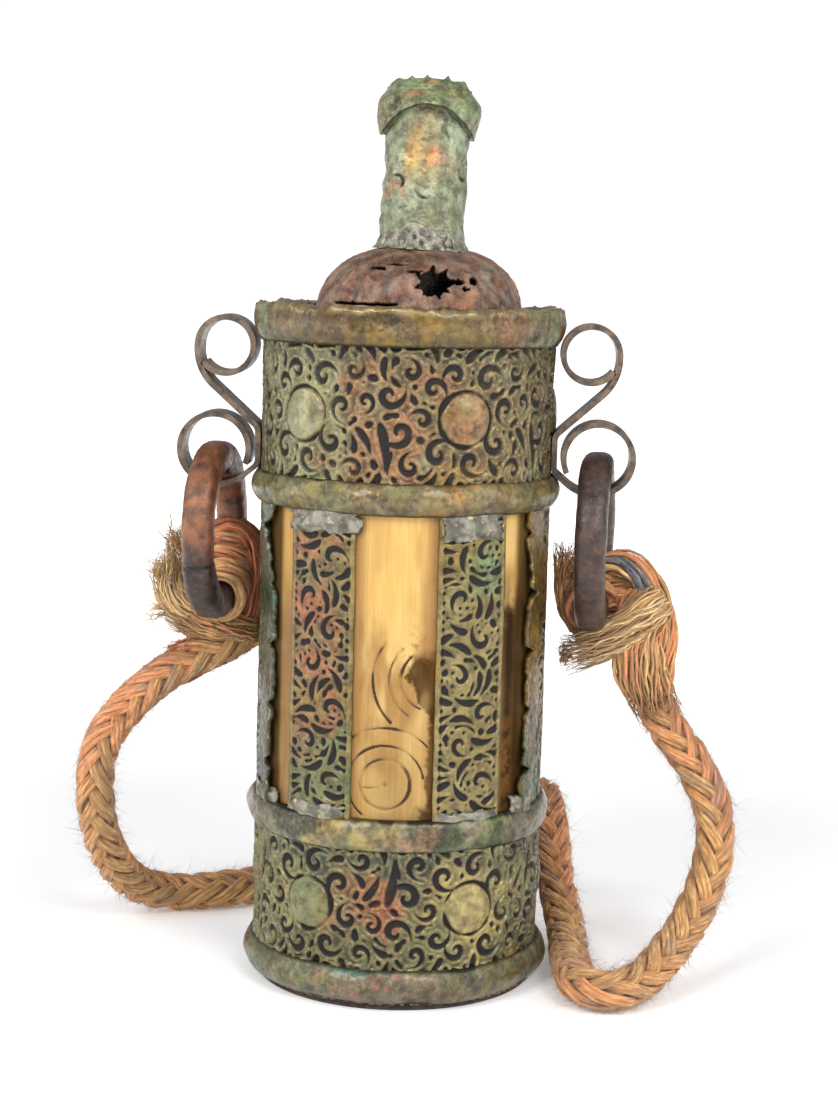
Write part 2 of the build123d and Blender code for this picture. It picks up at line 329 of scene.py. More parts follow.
def iron(name, high, low, spot, spot_share, roughness, crust, tinted=True):
    """Rusty iron: a brown skin with darker and lighter blotches, brighter rust spots and fine scale."""
    look = Look(name)
    colour = look.mix(look.spots(2.6, 0.35, 0.65, 7), low, high)
    if tinted:
        colour = look.mix(1.0, colour, look.tint(), "MULTIPLY")
    colour = look.mix(look.times(look.spots(1.2, 0.54, 0.68, 6, seed=6.0), spot_share), colour, spot)
    pits = look.cells(0.7, 0.04, 0.2)
    colour = look.mix(look.times(pits, 0.5), colour, srgb(38, 28, 26))
    colour = look.mix(look.ramp(look.value("recess"), 0.3, 0.9), colour, srgb(20, 16, 16))
    rubbed_and_sheen = look.times(look.value("wear"), look.spots(0.9, 0.35, 0.6, 5, seed=1.0))
    colour = look.mix(look.times(rubbed_and_sheen, 0.5), colour, srgb(150, 132, 112))
    look.set(Base_Color=colour, Metallic=look.ramp(rubbed_and_sheen, 0, 1, 0.25, 0.8))
    rough = look.spots(1.0, 0.25, 0.75, 5, seed=8.0)
    look.set(Roughness=look.ramp(rough, 0, 1, roughness - 0.12, roughness + 0.14))
    look.set(Coat_Weight=0.15, Coat_Roughness=0.35)
    height = look.plus(look.spots(0.4, 0.2, 0.8, 6, seed=2.0), look.spots(1.8, 0.3, 0.7, 4, seed=4.0))
    look.bump(look.plus(height, look.times(pits, -0.8)), crust)
    return look.material


def bone_look():
    """Aged bone: pale yellow with fine vertical grain and brown stains, polished by handling."""
    look = Look("bone")
    grain = look.spots(0.5, 0.3, 0.7, 5, vector=look.stretched(1.0, 1.0, 0.035))
    wide = look.spots(2.6, 0.3, 0.7, 4, vector=look.stretched(1.0, 1.0, 0.1), seed=2.0)
    share, pale = look.times(grain, 0.5), look.tint()
    colour = look.mix(share, pale, look.mix(1.0, look.tint(), (0.8, 0.66, 0.44), "MULTIPLY"))
    colour = look.mix(look.times(wide, 0.45), colour, look.mix(1.0, colour, (0.86, 0.72, 0.5), "MULTIPLY"))
    specks = look.spots(0.28, 0.66, 0.75, 3, vector=look.stretched(1.0, 1.0, 0.4), seed=4.0)
    colour = look.mix(look.times(specks, 0.45), colour, srgb(120, 82, 50))
    colour = look.mix(look.ramp(look.value("recess"), 0.2, 0.9), colour, srgb(62, 38, 22))
    stain_and_shade = look.value("stain_and_shade")
    look.set(Base_Color=colour, Subsurface_Weight=look.ramp(stain_and_shade, 0, 1, 0.04, 0), Subsurface_Scale=0.001)
    look.set(Coat_Weight=look.ramp(stain_and_shade, 0, 1, 0.1, 0), Coat_Roughness=0.25)
    look.set(Specular_IOR_Level=look.ramp(stain_and_shade, 0, 1, 0.25, 0.03))
    look.shader.inputs["Subsurface Radius"].default_value = (1.0, 0.6, 0.3)
    look.set(Roughness=look.ramp(grain, 0, 1, 0.34, 0.5))
    look.bump(look.times(grain, -1.0), 0.03)
    return look.material


def wood_look(name, pale, dark, vertical):
    """Wood with its grain along the height when vertical, or else across."""
    look = Look(name)
    squeeze = (1.0, 1.0, 0.06) if vertical else (1.0, 0.1, 1.0)
    grain = look.spots(1.2, 0.3, 0.7, 6, vector=look.stretched(*squeeze))
    colour = look.mix(grain, pale, dark)
    colour = look.mix(look.times(look.spots(3.0, 0.45, 0.7, 4), 0.4), colour, dark)
    look.set(Base_Color=colour, Roughness=look.ramp(grain, 0, 1, 0.55, 0.75))
    look.bump(grain, 0.08)
    return look.material


def cork_look():
    """Cork with dark pores."""
    look = Look("cork")
    grains = look.cells(1.3, 0.1, 0.55)
    colour = look.mix(grains, srgb(112, 78, 46), srgb(176, 132, 84))
    colour = look.mix(look.spots(0.8, 0.6, 0.7, 3), colour, srgb(66, 42, 26))
    look.set(Base_Color=colour, Roughness=look.ramp(look.spots(0.6, 0.3, 0.7), 0, 1, 0.75, 0.95))
    look.bump(grains, 0.12)
    return look.material


def jute_look():
    """Plant-fibre yarn: fine fibres along each yarn, paler and darker, with painted shade between the strands
    and inside bundles.
    """
    look = Look("jute")
    along = look.times(look.value("along"), 0.35)
    across = look.times(look.value("around"), 7.0)
    fibre = node(look.tree, "CombineXYZ", {0: along, 1: across, 2: look.value("strand")})
    streaks = look.spots(1.0, 0.32, 0.68, 5, vector=fibre.outputs[0])
    dark = look.mix(1.0, look.tint(), (0.58, 0.49, 0.40), "MULTIPLY")
    pale = look.mix(1.0, look.tint(), (1.34, 1.30, 1.20), "MULTIPLY")
    colour = look.mix(streaks, dark, pale)
    # Painted shade: the recess value darkens yarn where it lies under or inside other yarn.
    colour = look.mix(look.ramp(look.value("recess"), 0.25, 1.0, 0, 0.7), colour, srgb(96, 66, 42))
    look.set(Base_Color=colour, Roughness=look.ramp(streaks, 0, 1, 0.95, 0.8))
    look.set(Sheen_Weight=0.25, Sheen_Roughness=0.6)
    look.bump(streaks, 0.18)
    return look.material


def solder_look():
    """Dull grey solder with paler, yellower blotches."""
    look = Look("solder")
    colour = look.mix(look.spots(2.0, 0.35, 0.65, 6), srgb(92, 90, 82), srgb(150, 145, 128))
    colour = look.mix(look.spots(1.4, 0.58, 0.70, 5, seed=6.0), colour, srgb(194, 180, 142))
    colour = look.mix(look.ramp(look.value("recess"), 0.35, 0.95), colour, srgb(56, 52, 46))
    rough = look.spots(1.2, 0.3, 0.7, 4, seed=3.0)
    look.set(Base_Color=colour, Metallic=0.45, Roughness=look.ramp(rough, 0, 1, 0.3, 0.6))
    look.bump(look.spots(0.9, 0.2, 0.8, 5, seed=2.0), 0.035)
    return look.material


RECESS = srgb(46, 44, 44)
DUST = srgb(158, 164, 122)
GILT_DUST = srgb(150, 132, 84)
SHEET = patina("patinated_sheet", RECESS, DUST)
GILT = patina("gilded_sheet", RECESS, GILT_DUST, dust_share=0.2)
MOULDING = patina("patinated_moulding", srgb(44, 42, 34), srgb(172, 166, 136), shine=0.45, crust=0.07)
NECK = patina(
    "patinated_neck", srgb(58, 56, 50), srgb(172, 186, 158), dust_share=0.5, shine=0.5, crust=0.16,
    tarnish=(0.94, 0.85, 0.86),
)
DOME = iron("rusty_dome", srgb(168, 144, 126), srgb(96, 74, 66), srgb(168, 100, 62), 0.5, 0.45, 0.12)
STRIP_IRON = iron(
    "strip_iron", srgb(118, 100, 82), srgb(60, 50, 44), srgb(138, 100, 62), 0.4, 0.4, 0.05, tinted=False
)
RING_IRON = iron("ring_iron", srgb(96, 76, 66), srgb(60, 48, 46), srgb(128, 84, 50), 0.35, 0.42, 0.04)
BONE = bone_look()
JUTE = jute_look()
SOLDER = solder_look()
CORK = cork_look()
CORE_WOOD = wood_look("core_wood", srgb(150, 110, 72), srgb(96, 66, 42), True)
FOOT_WOOD = wood_look("foot_wood", srgb(74, 50, 36), srgb(38, 26, 20), False)

# ----------------------------------------------------------------------------------------------- ornament


def swirl(x, y, size, heading, hand, turn=390, flare=0.62):
    """A comma that curls out from an eye at (x, y). Rows are x, y and half-width. heading is in degrees."""
    t = np.linspace(0, 1, 120)
    a = np.radians(heading + hand * turn * t)
    radius = size * (0.27 + 0.62 * t**1.2 + flare * t**6)
    width = size * (0.085 + 0.17 * np.sin(np.pi * t**1.2)) * (1 - 0.8 * smooth(t, 0.8, 1.0))
    return np.stack([x + radius * np.cos(a), y + radius * np.sin(a), width], -1)


def drop(x0, y0, x1, y1, width, bend=0.0):
    """A leaf: round at the first end, pointed at the second, and bowed sideways by bend."""
    t = np.linspace(0, 1, 40)
    bow = bend * 4 * t * (1 - t)
    long = np.hypot(x1 - x0, y1 - y0)
    x = x0 + (x1 - x0) * t - bow * (y1 - y0) / long
    y = y0 + (y1 - y0) * t + bow * (x1 - x0) / long
    return np.stack([x, y, width * np.sin(np.pi * t**0.6) * 0.95 + 0.04], -1)


def circle(x, y, radius, width, wander=0.0, seed=0, start=0, end=360):
    """A line round (x, y). wander lets its width come and go."""
    a = np.radians(np.linspace(start, end, int(radius * abs(end - start) / 8) + 8))
    rim = np.stack([np.cos(a), np.sin(a), np.zeros_like(a)], -1) * radius
    width = width + wander * noise(rim + (x, y, 0), radius * 0.55, seed, 2)
    return np.stack([x + rim[:, 0], y + rim[:, 1], width], -1)


class Ground:
    """Flat sheet metal with strokes cut in it. It knows how far in mm any point is from the nearest stroke."""

    STEP, REACH = 0.12, 4.0
    MOST_LEAVES = 1500
    LONGEST_LEAF, WIDEST_LEAF = 4.4, 0.66

    def __init__(self, low, high):
        self.us = np.arange(low[0], high[0] + self.STEP, self.STEP)
        self.vs = np.arange(low[1], high[1] + self.STEP, self.STEP)
        self.away = np.full((len(self.us), len(self.vs)), self.REACH)

    def cut(self, *strokes):
        for x, y, width in np.concatenate(strokes):
            i = np.searchsorted(self.us, (x - self.REACH, x + self.REACH))
            j = np.searchsorted(self.vs, (y - self.REACH, y + self.REACH))
            if i[0] < i[1] and j[0] < j[1]:
                window = self.away[i[0]:i[1], j[0]:j[1]]
                here = np.hypot(self.us[i[0]:i[1], None] - x, self.vs[None, j[0]:j[1]] - y) - width
                np.minimum(window, here, out=window)

    def at(self, u, v):
        iu = np.clip((u - self.us[0]) / self.STEP, 0, len(self.us) - 1.001)
        iv = np.clip((v - self.vs[0]) / self.STEP, 0, len(self.vs) - 1.001)
        a, b = np.floor(iu).astype(int), np.floor(iv).astype(int)
        p, q = iu - a, iv - b
        near = self.away[a, b] * (1 - q) + self.away[a, b + 1] * q
        far = self.away[a + 1, b] * (1 - q) + self.away[a + 1, b + 1] * q
        return near * (1 - p) + far * p

    def fill(self, low, high, land, least, rng, centres, long=1.0):
        """Packs leaves into the open ground between low and high, round the nearest of centres. A line of metal
        about land wide is left between strokes. It stops when no open spot is wider than least."""
        i = slice(*np.searchsorted(self.us, (low[0], high[0])))
        j = slice(*np.searchsorted(self.vs, (low[1], high[1])))
        for _ in range(self.MOST_LEAVES):
            coarse = self.away[i, j][::3, ::3]
            spot = np.unravel_index(np.argmax(coarse), coarse.shape)
            room = coarse[spot]
            if room < least:
                return
            x = self.us[i][::3][spot[0]]
            y = self.vs[j][::3][spot[1]]
            rim = centres - (x, y)
            nearest = rim[np.argmin(np.hypot(*rim.T))]
            way = np.arctan2(nearest[0], -nearest[1]) + rng.normal(0, 0.35) + np.pi * rng.integers(2)
            size = long * min(1.3 + 1.5 * room, self.LONGEST_LEAF)
            bend = np.clip(size**2 / 6 / (np.hypot(*nearest) + 1.0), 0.2, 1.2)
            side = 1 if np.cos(way) * nearest[1] - np.sin(way) * nearest[0] > 0 else -1
            step = 0.5 * size * np.array([np.cos(way), np.sin(way)])
            width = min(0.62 * room, self.WIDEST_LEAF)
            leaf = drop(x - step[0], y - step[1], x + step[0], y + step[1], width, -side * bend)
            leaf[:, 2] = np.minimum(leaf[:, 2], self.at(leaf[:, 0], leaf[:, 1]) - land)
            inside = np.all((leaf[:, :2] > low) & (leaf[:, :2] < high), axis=1)
            leaf = leaf[(leaf[:, 2] > 0.03) & inside]
            if len(leaf) < 4:
                leaf = np.array([[x, y, min(0.3, room - 0.3)]])
            self.cut(leaf)


# One length of the die-pressed strip, from the middle of its boss: x, y, size, heading and hand of each comma
STRIP_COMMAS = (
    (-2.3, 8.1, 2.2, 200, 1),
    (4.4, 7.3, 2.6, 20, -1),
    (8.6, 1.9, 2.3, 250, 1),
    (6.6, -4.6, 2.6, 120, -1),
    (1.3, -8.0, 2.3, 300, 1),
    (-5.3, -6.6, 2.6, 60, -1),
    (-8.3, -0.2, 2.0, 150, 1),
    (-6.4, 5.5, 2.2, 340, -1),
    (-12.4, -2.6, 2.6, 210, -1),
    (-10.6, 8.6, 2.0, 90, 1),
    (-14.6, 4.2, 2.5, 10, 1),
    (-10.4, -8.9, 2.2, 100, -1),
    (11.0, 8.6, 1.9, 30, 1),
    (13.4, 3.0, 1.9, 280, -1),
    (11.2, -9.6, 2.0, 160, 1),
)
STRIP_LEAVES = (
    (-16.3, -1.0, -15.0, -10.2, 0.95, 0.5),
    (-13.9, -6.2, -14.6, -10.6, 0.45, -0.3),
    (11.6, -2.0, 14.6, -7.0, 0.7, 0.6),
)
BOSS_RADIUS = 4.8
BOSS_COUNT = 6
STRIP_REPEAT = 65.4  # degrees from one boss to the next
SHEET_RADIUS, SHEET_BACK = 28.4, 27.6
FIRST_BOSS = -171.1  # degrees


def along_body(angle):
    """Distance round the sheet from the front, in mm."""
    return np.radians(angle) * SHEET_RADIUS


def strip_ground(first_boss, low, middle, high, flip):
    """The strip laid round the body. flip is -1 for a strip put on upside down."""
    rng = np.random.default_rng(SEED)
    edge = along_body(180)
    ground = Ground((-edge - 1, low - 1), (edge + 1, high + 1))
    centres = []
    for k in range(-1, BOSS_COUNT + 1):
        centre = along_body(first_boss + STRIP_REPEAT * k)
        for x, y, size, heading, hand in STRIP_COMMAS:
            size = size * rng.uniform(0.95, 1.05)
            ground.cut(swirl(centre + x, middle + flip * y, size, flip * heading, hand * flip))
            centres.append((centre + x, middle + flip * y))
        for x0, y0, x1, y1, width, bend in STRIP_LEAVES:
            start, end = (centre + x0, middle + flip * y0), (centre + x1, middle + flip * y1)
            ground.cut(drop(*start, *end, width, flip * bend))
        ground.cut(circle(centre, middle, BOSS_RADIUS + 0.35, 0.24, 0.32, seed=k + 5))
        boss = np.hypot(ground.us[:, None] - centre, ground.vs[None] - middle) < BOSS_RADIUS
        ground.away[boss] = np.minimum(ground.away[boss], 1.0)
    ground.fill((-edge, low), (edge, high), 0.85, 1.25, rng, np.array(centres))
    return ground


def pressed(d, depth=0.42, rib=0.26, valley=0.16):
    """Relief, grime and rubbing of a sheet that was pressed over the strokes, from its distance to them."""
    groove = smooth(d, 0.14, -0.16)
    ribbon = np.exp(-(((d - 0.42) / 0.30) ** 2))
    between = smooth(d, 0.66, 1.0)
    height = rib * ribbon - depth * groove - valley * between
    recess = np.clip(groove * 1.2 + between * 0.38, 0, 1)
    return height, recess, ribbon * (1 - groove)


# ------------------------------------------------------------------------------------------- sheet pieces


def round_section(profile, angles, inner):
    """Rings for a closed hoop. profile is its rows of radius and height, and inner closes them behind."""
    radius, height = profile
    a = angles[:, None]
    outer = on_body(a, radius, height)
    back = [on_body(a, np.full_like(a, r), np.full_like(a, z, dtype=float)) for r, z in inner]
    return np.concatenate([outer, *back], 1)


BAND_STEP = 0.2
BAND_COLUMNS = 520
FRONT_FINENESS = 0.3
UPPER_BAND = (98.0, 131.6)
LOWER_BAND = (1.35, 34.0)
LOWER_SHIFT = 7.1  # how far round the lower band's bosses sit from the upper band's, in degrees


def band_angles():
    """Angles round the body, closer together at the front than at the back."""
    even = np.linspace(-180, 180, BAND_COLUMNS, endpoint=False)
    return even - np.degrees(FRONT_FINENESS * np.sin(np.radians(even)))


def band(name, low, high, first_boss, middle, flip, colours):
    """An embossed band round the body, tinted by colours(points, angle, height, on_boss)."""
    angles = band_angles()
    zs = np.linspace(low, high, int((high - low) / BAND_STEP))
    a, z = np.meshgrid(angles, zs, indexing="ij")
    d = strip_ground(first_boss, low, middle, high, flip).at(along_body(a), z)
    height, recess, wear = pressed(d)
    bosses = first_boss + STRIP_REPEAT * np.arange(-1, BOSS_COUNT + 1)
    boss = np.min([np.hypot(along_body(a - b), z - middle) for b in bosses], axis=0) / BOSS_RADIUS
    crown = np.sqrt(np.clip(1 - boss**2, 0, 1))
    flat = on_body(a, SHEET_RADIUS, z)
    on_boss = smooth(boss, 0.98, 0.9)
    height = height * (1 - on_boss) + 1.0 * crown
    recess = recess * (1 - on_boss) * (0.66 + 0.34 * smooth(noise(flat, 8, 7, 2), -0.5, 0.2))
    wear = wear * (1 - on_boss) + 0.6 * on_boss
    height = height + 0.22 * noise(flat, 9, 3, 2) + 0.07 * noise(flat, 1.4, 4, 2)
    rings = round_section((SHEET_RADIUS + height, z), angles, ((SHEET_BACK, high), (SHEET_BACK, low)))
    surface = hoop(rings, 2, tint=colours(flat, a, z, on_boss), recess=recess, wear=wear)
    piece(name, surface, SHEET, "patinated_brass", "flask", name.replace("_sheet", ""))


def upper_colours(points, a, z, on_boss):
    """The upper band's verdigris and browns, by angle and height, with painted shade under the rim and towards
    the sides.
    """
    tint = patches(
        points, 5.0, 40,
        (156, 164, 128, 0.15 + 0.9 * hump(a, -62, 42) - 0.5 * hump(a, 10, 25)),
        (176, 122, 88, -0.3 + 0.65 * hump(a, -4, 24) + 0.3 * on_boss * hump(a, 25, 20)),
        (132, 116, 78, 0.1 + 0.5 * hump(a, 40, 30)),
        (96, 80, 58, -0.35 + 0.7 * hump(a, 80, 30)),
        (178, 142, 58, -0.7 + 1.2 * hump(z, 103, 3.0) * hump(a, 18, 30)),
        (160, 74, 62, -1.0 + 1.3 * hump(z, 103.5, 2.6) * hump(a, -22, 14)),
    )
    # Painted shade: darker just under the overhanging rim moulding, most at the front.
    tint = toward(tint, (58, 62, 44), 0.85 * hump(z, 126, 3.6) * (0.45 + 0.55 * hump(a, -6, 26)))
    # Painted shade: darker towards the sides, where the front light falls off.
    tint = tint * (1 - 0.35 * smooth(np.abs(a), 48, 72))[..., None]
    tint = toward(tint, (176, 184, 152), 0.8 * on_boss * hump(a, -40, 12))
    tint = toward(tint, (168, 112, 66), 0.8 * on_boss * hump(a, 25, 12))
    return toward(tint, (172, 168, 126), 0.8 * on_boss * hump(a, 25, 4.5) * hump(z, 116, 2.2))


def lower_colours(points, a, z, on_boss):
    """The lower band's verdigris and browns, by angle and height."""
    tint = patches(
        points, 5.0, 60,
        (150, 158, 112, 0.1 + 0.6 * hump(a, -55, 28) - 0.4 * hump(a, 0, 20)),
        (112, 118, 84, 0.1 + 0.7 * hump(z, 11, 5)),
        (176, 108, 78, -0.35 + 1.0 * hump(a, -3, 15) * hump(z, 20, 6)),
        (188, 176, 116, -0.2 + 1.0 * hump(a, 33, 17)),
        (78, 96, 84, -0.3 + 0.8 * hump(z, 29, 3.5)),
        (84, 78, 66, -0.3 + 0.8 * hump(a, 75, 25)),
    )
    tint = tint * (1 + 0.3 * hump(a, 33, 20))[..., None]
    tint = toward(tint, (206, 196, 138), 0.85 * on_boss * hump(a, 32, 12))
    return toward(tint, (132, 160, 118), 0.7 * on_boss * hump(a, -33, 14))


band("upper_band_sheet", *UPPER_BAND, FIRST_BOSS, 113.0, 1, upper_colours)
band("lower_band_sheet", *LOWER_BAND, FIRST_BOSS + LOWER_SHIFT, 19.6, -1, lower_colours)


def slab(outer, inner, **values):
    """A sheet with thickness from two grids of points, (columns, rows, 3)."""
    n, m = outer.shape[:2]
    index = np.arange(n * m).reshape(n, m)
    back = index + n * m

    def quads(grid):
        return np.stack([grid[:-1, :-1], grid[1:, :-1], grid[1:, 1:], grid[:-1, 1:]], -1).reshape(-1, 4)

    def rim(front, behind):
        return np.stack([front[:-1], front[1:], behind[1:], behind[:-1]], -1)

    rims = [
        rim(index[::-1, 0], back[::-1, 0]),
        rim(index[:, -1], back[:, -1]),
        rim(index[0], back[0]),
        rim(index[-1, ::-1], back[-1, ::-1]),
    ]
    faces = np.concatenate([quads(index), quads(back)[:, ::-1], *rims])
    doubled = {name: np.concatenate([v.reshape((n * m, -1))] * 2) for name, v in values.items()}
    doubled = {name: v if v.shape[1] == 3 else v[:, 0] for name, v in doubled.items()}
    points = np.concatenate([outer.reshape(-1, 3), inner.reshape(-1, 3)])
    return {"points": points, "quads": faces, "caps": [], "values": doubled}


def foliage(width, low, high, seed):
    """Scrolls that climb a strip from side to side, and leaves packed round them."""
    rng = np.random.default_rng(seed)
    ground = Ground((-width / 2 - 2, low - 1), (width / 2 + 2, high + 1))
    columns = max(1, int(round((width - 4.0) / 6.0)))
    places = (np.arange(columns) - (columns - 1) / 2) * (width - 4.0) / columns
    centres = []
    for row, y in enumerate(np.arange(low + 2.5, high, 7.2)):
        for column, x in enumerate(places):
            hand = 1 if (row + column) % 2 else -1
            eye = np.array([x + hand * rng.uniform(2.0, 2.7), y + 1.8 * (column % 2) + rng.uniform(-1, 1)])
            size = rng.uniform(1.9, 2.5)
            if ground.at(*eye) > 1.1 * size:
                ground.cut(swirl(*eye, size, rng.uniform(0, 360), -hand, rng.uniform(250, 340), 0.7))
            centres.append(eye)
    edge = width / 2
    ground.fill((-edge, low), (edge, high), rng.uniform(0.58, 0.64), 0.98, rng, np.array(centres), 1.2)
    return ground


PANEL_LOW, PANEL_HIGH = 34.05, 97.95
STRAP_CENTRE, STRAP_SPAN = 30.6, 29.0
PLATE_SPAN = 66.0
STRAP_STEP, PLATE_STEP = 0.22, 0.28
WHOLE = (0.0, 0.0)  # neither long edge torn
BORDER = 1.15  # plain margin along a panel's long edges


def eaten_back(zs, side, amount, seed):
    """How far a panel's long edge stands back at each height, as toothed bites of about amount mm."""
    column = np.stack([np.full_like(zs, 7.0 * side + seed), np.zeros_like(zs), zs], -1)
    if not amount:
        return 0.06 * noise(column, 3.0, seed, 2)
    bites = 0.75 * noise(column, 7.0, seed + side, 2) + 0.35 * np.abs(noise(column, 1.8, seed + side + 5, 2))
    tooth = np.abs(((zs - 9.0) / 11.5) % 1 - 0.12) * 2
    return amount * (bites + 0.9 * smooth(tooth, 0.22, 0.0))


def panel(name, middle, span, colours, seed, ragged=WHOLE, material=SHEET):
    """A pressed sheet over the window zone. ragged is how far in mm each long edge is eaten back and lifted."""
    step = STRAP_STEP if ragged == WHOLE else PLATE_STEP
    half = along_body(span) / 2
    zs = np.linspace(PANEL_LOW, PANEL_HIGH, int((PANEL_HIGH - PANEL_LOW) / step))
    share = np.linspace(0, 1, int(along_body(span) / step))[:, None]
    eaten = [eaten_back(zs, side, amount, seed) for side, amount in enumerate(ragged)]
    left, right = -half + eaten[0], half - eaten[1]
    u = left[None] + (right - left)[None] * share
    z = np.broadcast_to(zs[None], u.shape)
    a = middle + np.degrees(u / SHEET_RADIUS)
    from_left, from_right, from_edge = u - left[None], right[None] - u, half - np.abs(u)
    d = foliage(2 * (half - BORDER), PANEL_LOW, PANEL_HIGH, seed).at(u, z)
    height, recess, wear = pressed(d, depth=0.36, rib=0.12, valley=0.04)
    recess = np.clip(smooth(d, 0.16, -0.14), 0, 1) * smooth(from_edge, 0.75, 0.95)
    if ragged != WHOLE:
        flattened = smooth(np.minimum(from_left, from_right), 4.0, 13.0)
        height, recess = height * flattened, recess * flattened
    line = hump(from_edge, BORDER, 0.16) * (ragged == WHOLE)
    height = height * smooth(from_edge, 0.6, 0.9) + 0.14 * hump(from_edge, 0.55, 0.35) - 0.12 * line
    recess = np.clip(recess + 0.5 * line, 0, 1)
    flat = on_body(a, SHEET_RADIUS, z)
    lift = sum(
        amount * 0.5 * smooth(gap, 2.6, 0.0) * (0.8 + 0.6 * noise(flat, 6, seed + 9))
        for amount, gap in zip(ragged, (from_left, from_right))
    )
    height = height + 0.15 * noise(flat, 8, seed, 2) + 0.05 * noise(flat, 1.5, seed + 1, 2) + lift
    outer = on_body(a, SHEET_RADIUS + height, z)
    inner = on_body(a, SHEET_BACK + lift, z)
    tint = colours(flat, z, from_left, from_right)
    surface = slab(outer, inner, tint=tint, recess=recess, wear=0.4 * wear + 0.5 * hump(from_edge, 0.55, 0.3))
    piece(name + "_sheet", surface, material, "patinated_brass", "flask", name)


def left_strap_colours(points, z, from_left, from_right):
    up = smooth(z, 50, 66)
    return patches(
        points, 5.5, 80,
        (180, 116, 78, -0.12 + 0.55 * up - 0.7 * smooth(from_right, 4.0, 1.0)),
        (146, 138, 92, 0.22),
        (122, 142, 98, -0.1 + 0.7 * smooth(z, 56, 40)),
        (160, 138, 70, -0.15 + 0.4 * smooth(z, 80, 95) + 0.8 * smooth(from_right, 4.0, 1.0)),
    )


def right_strap_colours(points, z, from_left, from_right):
    tint = patches(
        points, 5.5, 84,
        (158, 150, 96, 0.25),
        (164, 138, 58, -0.2 + 0.9 * smooth(z, 76, 92) + 0.4 * smooth(from_left, 3.0, 0.0)),
        (150, 130, 80, -0.2),
        (176, 166, 112, -0.2 + 0.7 * smooth(z, 60, 44)),
    )
    patch = hump(z, 85, 7.5) * hump(from_right, 4.0, 3.6) * smooth(noise(points, 3.0, 90, 3), -0.45, 0.1)
    return toward(tint, (110, 166, 122), 0.9 * patch)


def back_strap_colours(points, z, from_left, from_right):
    return patches(points, 6.0, 88, (146, 142, 98, 0.2), (168, 118, 86, -0.1), (116, 134, 100, 0.0))


def left_plate_colours(points, z, from_left, from_right):
    """The left side plate's colours, by height and distance from its edges."""
    tint = patches(
        points, 5.0, 92,
        (84, 104, 82, 0.25),
        (100, 96, 88, 0.1),
        (62, 78, 66, 0.1),
        (132, 146, 116, -0.25),
        (112, 84, 68, -0.35),
    )
    crystals = smooth(from_right, 3.4, 0.6) * hump(z, 80, 12) * smooth(noise(points, 0.9, 95, 2), 0.1, 0.4)
    tint = toward(tint, (70, 160, 165), 0.9 * crystals)
    return toward(tint, (215, 225, 222), crystals * smooth(noise(points, 0.5, 97), 0.1, 0.4))


def right_plate_colours(points, z, from_left, from_right):
    return patches(
        points, 5.0, 98,
        (150, 122, 44, 0.3 + 0.4 * smooth(z, 60, 80)),
        (104, 82, 40, 0.2),
        (84, 112, 76, -0.4 + 1.1 * smooth(z, 56, 44)),
        (118, 96, 52, 0.0),
    )


panel("strap_front_left", -STRAP_CENTRE, STRAP_SPAN, left_strap_colours, 3)
panel("strap_front_right", STRAP_CENTRE, STRAP_SPAN, right_strap_colours, 6, material=GILT)
panel("strap_back_left", 180 + STRAP_CENTRE, STRAP_SPAN, back_strap_colours, 9)
panel("strap_back_right", 180 - STRAP_CENTRE, STRAP_SPAN, back_strap_colours, 12)
panel("side_plate_left", -90, PLATE_SPAN, left_plate_colours, 15, (1.6, 2.0))
panel("side_plate_right", 90, PLATE_SPAN - 2, right_plate_colours, 18, (2.2, 1.6), GILT)

# ------------------------------------------------------------------------------------------- solder films


SOLDER_STEP = 0.3
# name, angle of the middle, span, low and high, seed and thickness
SOLDER_PATCHES = (
    ("strap_left_top", -30.2, 35.0, 90.8, 96.6, 2, 0.6),
    ("strap_right_top", 30.4, 28.0, 90.0, 96.4, 5, 0.6),
    ("strap_left_foot", -31.0, 30.0, 34.6, 39.6, 8, 0.6),
    ("strap_right_foot", 30.8, 29.0, 35.0, 38.8, 11, 0.6),
    ("side_left", -64.0, 24.0, 33.0, 40.0, 14, 1.0),
    ("side_right", 60.0, 18.0, 35.0, 40.5, 17, 0.6),
    ("back_left", 208.0, 36.0, 90.5, 96.6, 20, 0.6),
    ("back_right", 152.0, 33.0, 34.6, 39.5, 23, 0.6),
)


def solder_patch(name, middle, span, low, high, seed, thick):
    """A film of solder run over a joint, thin and lobed at its edges."""
    columns, rows = int(along_body(span) / SOLDER_STEP), int((high - low) / SOLDER_STEP)
    across, up = np.meshgrid(np.linspace(-1, 1, columns), np.linspace(-1, 1, rows), indexing="ij")
    reach = 1 - 0.30 * np.abs(noise(np.stack([across * 3, up * 3, np.full_like(up, seed)], -1), 1.0, seed, 3))
    a = middle + span / 2 * across * reach
    z = (low + high) / 2 + (high - low) / 2 * up * reach
    flat = on_body(a, SHEET_RADIUS, z)
    edge = np.maximum(np.abs(across), np.abs(up))
    swell = thick * smooth(edge, 1.0, 0.5) * (0.75 + 0.5 * noise(flat, 3.4, seed, 2))
    outer = on_body(a, SHEET_RADIUS + 0.12 + np.clip(swell, 0, None), z)
    inner = on_body(a, np.full_like(a, SHEET_RADIUS - 0.3), z)
    wrinkles = 0.6 * smooth(noise(flat, 2.4, seed + 3, 3), 0.1, 0.5)
    recess = np.clip(wrinkles + 0.5 * smooth(edge, 0.92, 1.0), 0, 1)
    piece("solder_" + name, slab(outer, inner, recess=recess), SOLDER, "solder", "flask")


for patch in SOLDER_PATCHES:
    solder_patch(*patch)

# ---------------------------------------------------------------------------------------------- mouldings

HOOP_BACK = 28.45


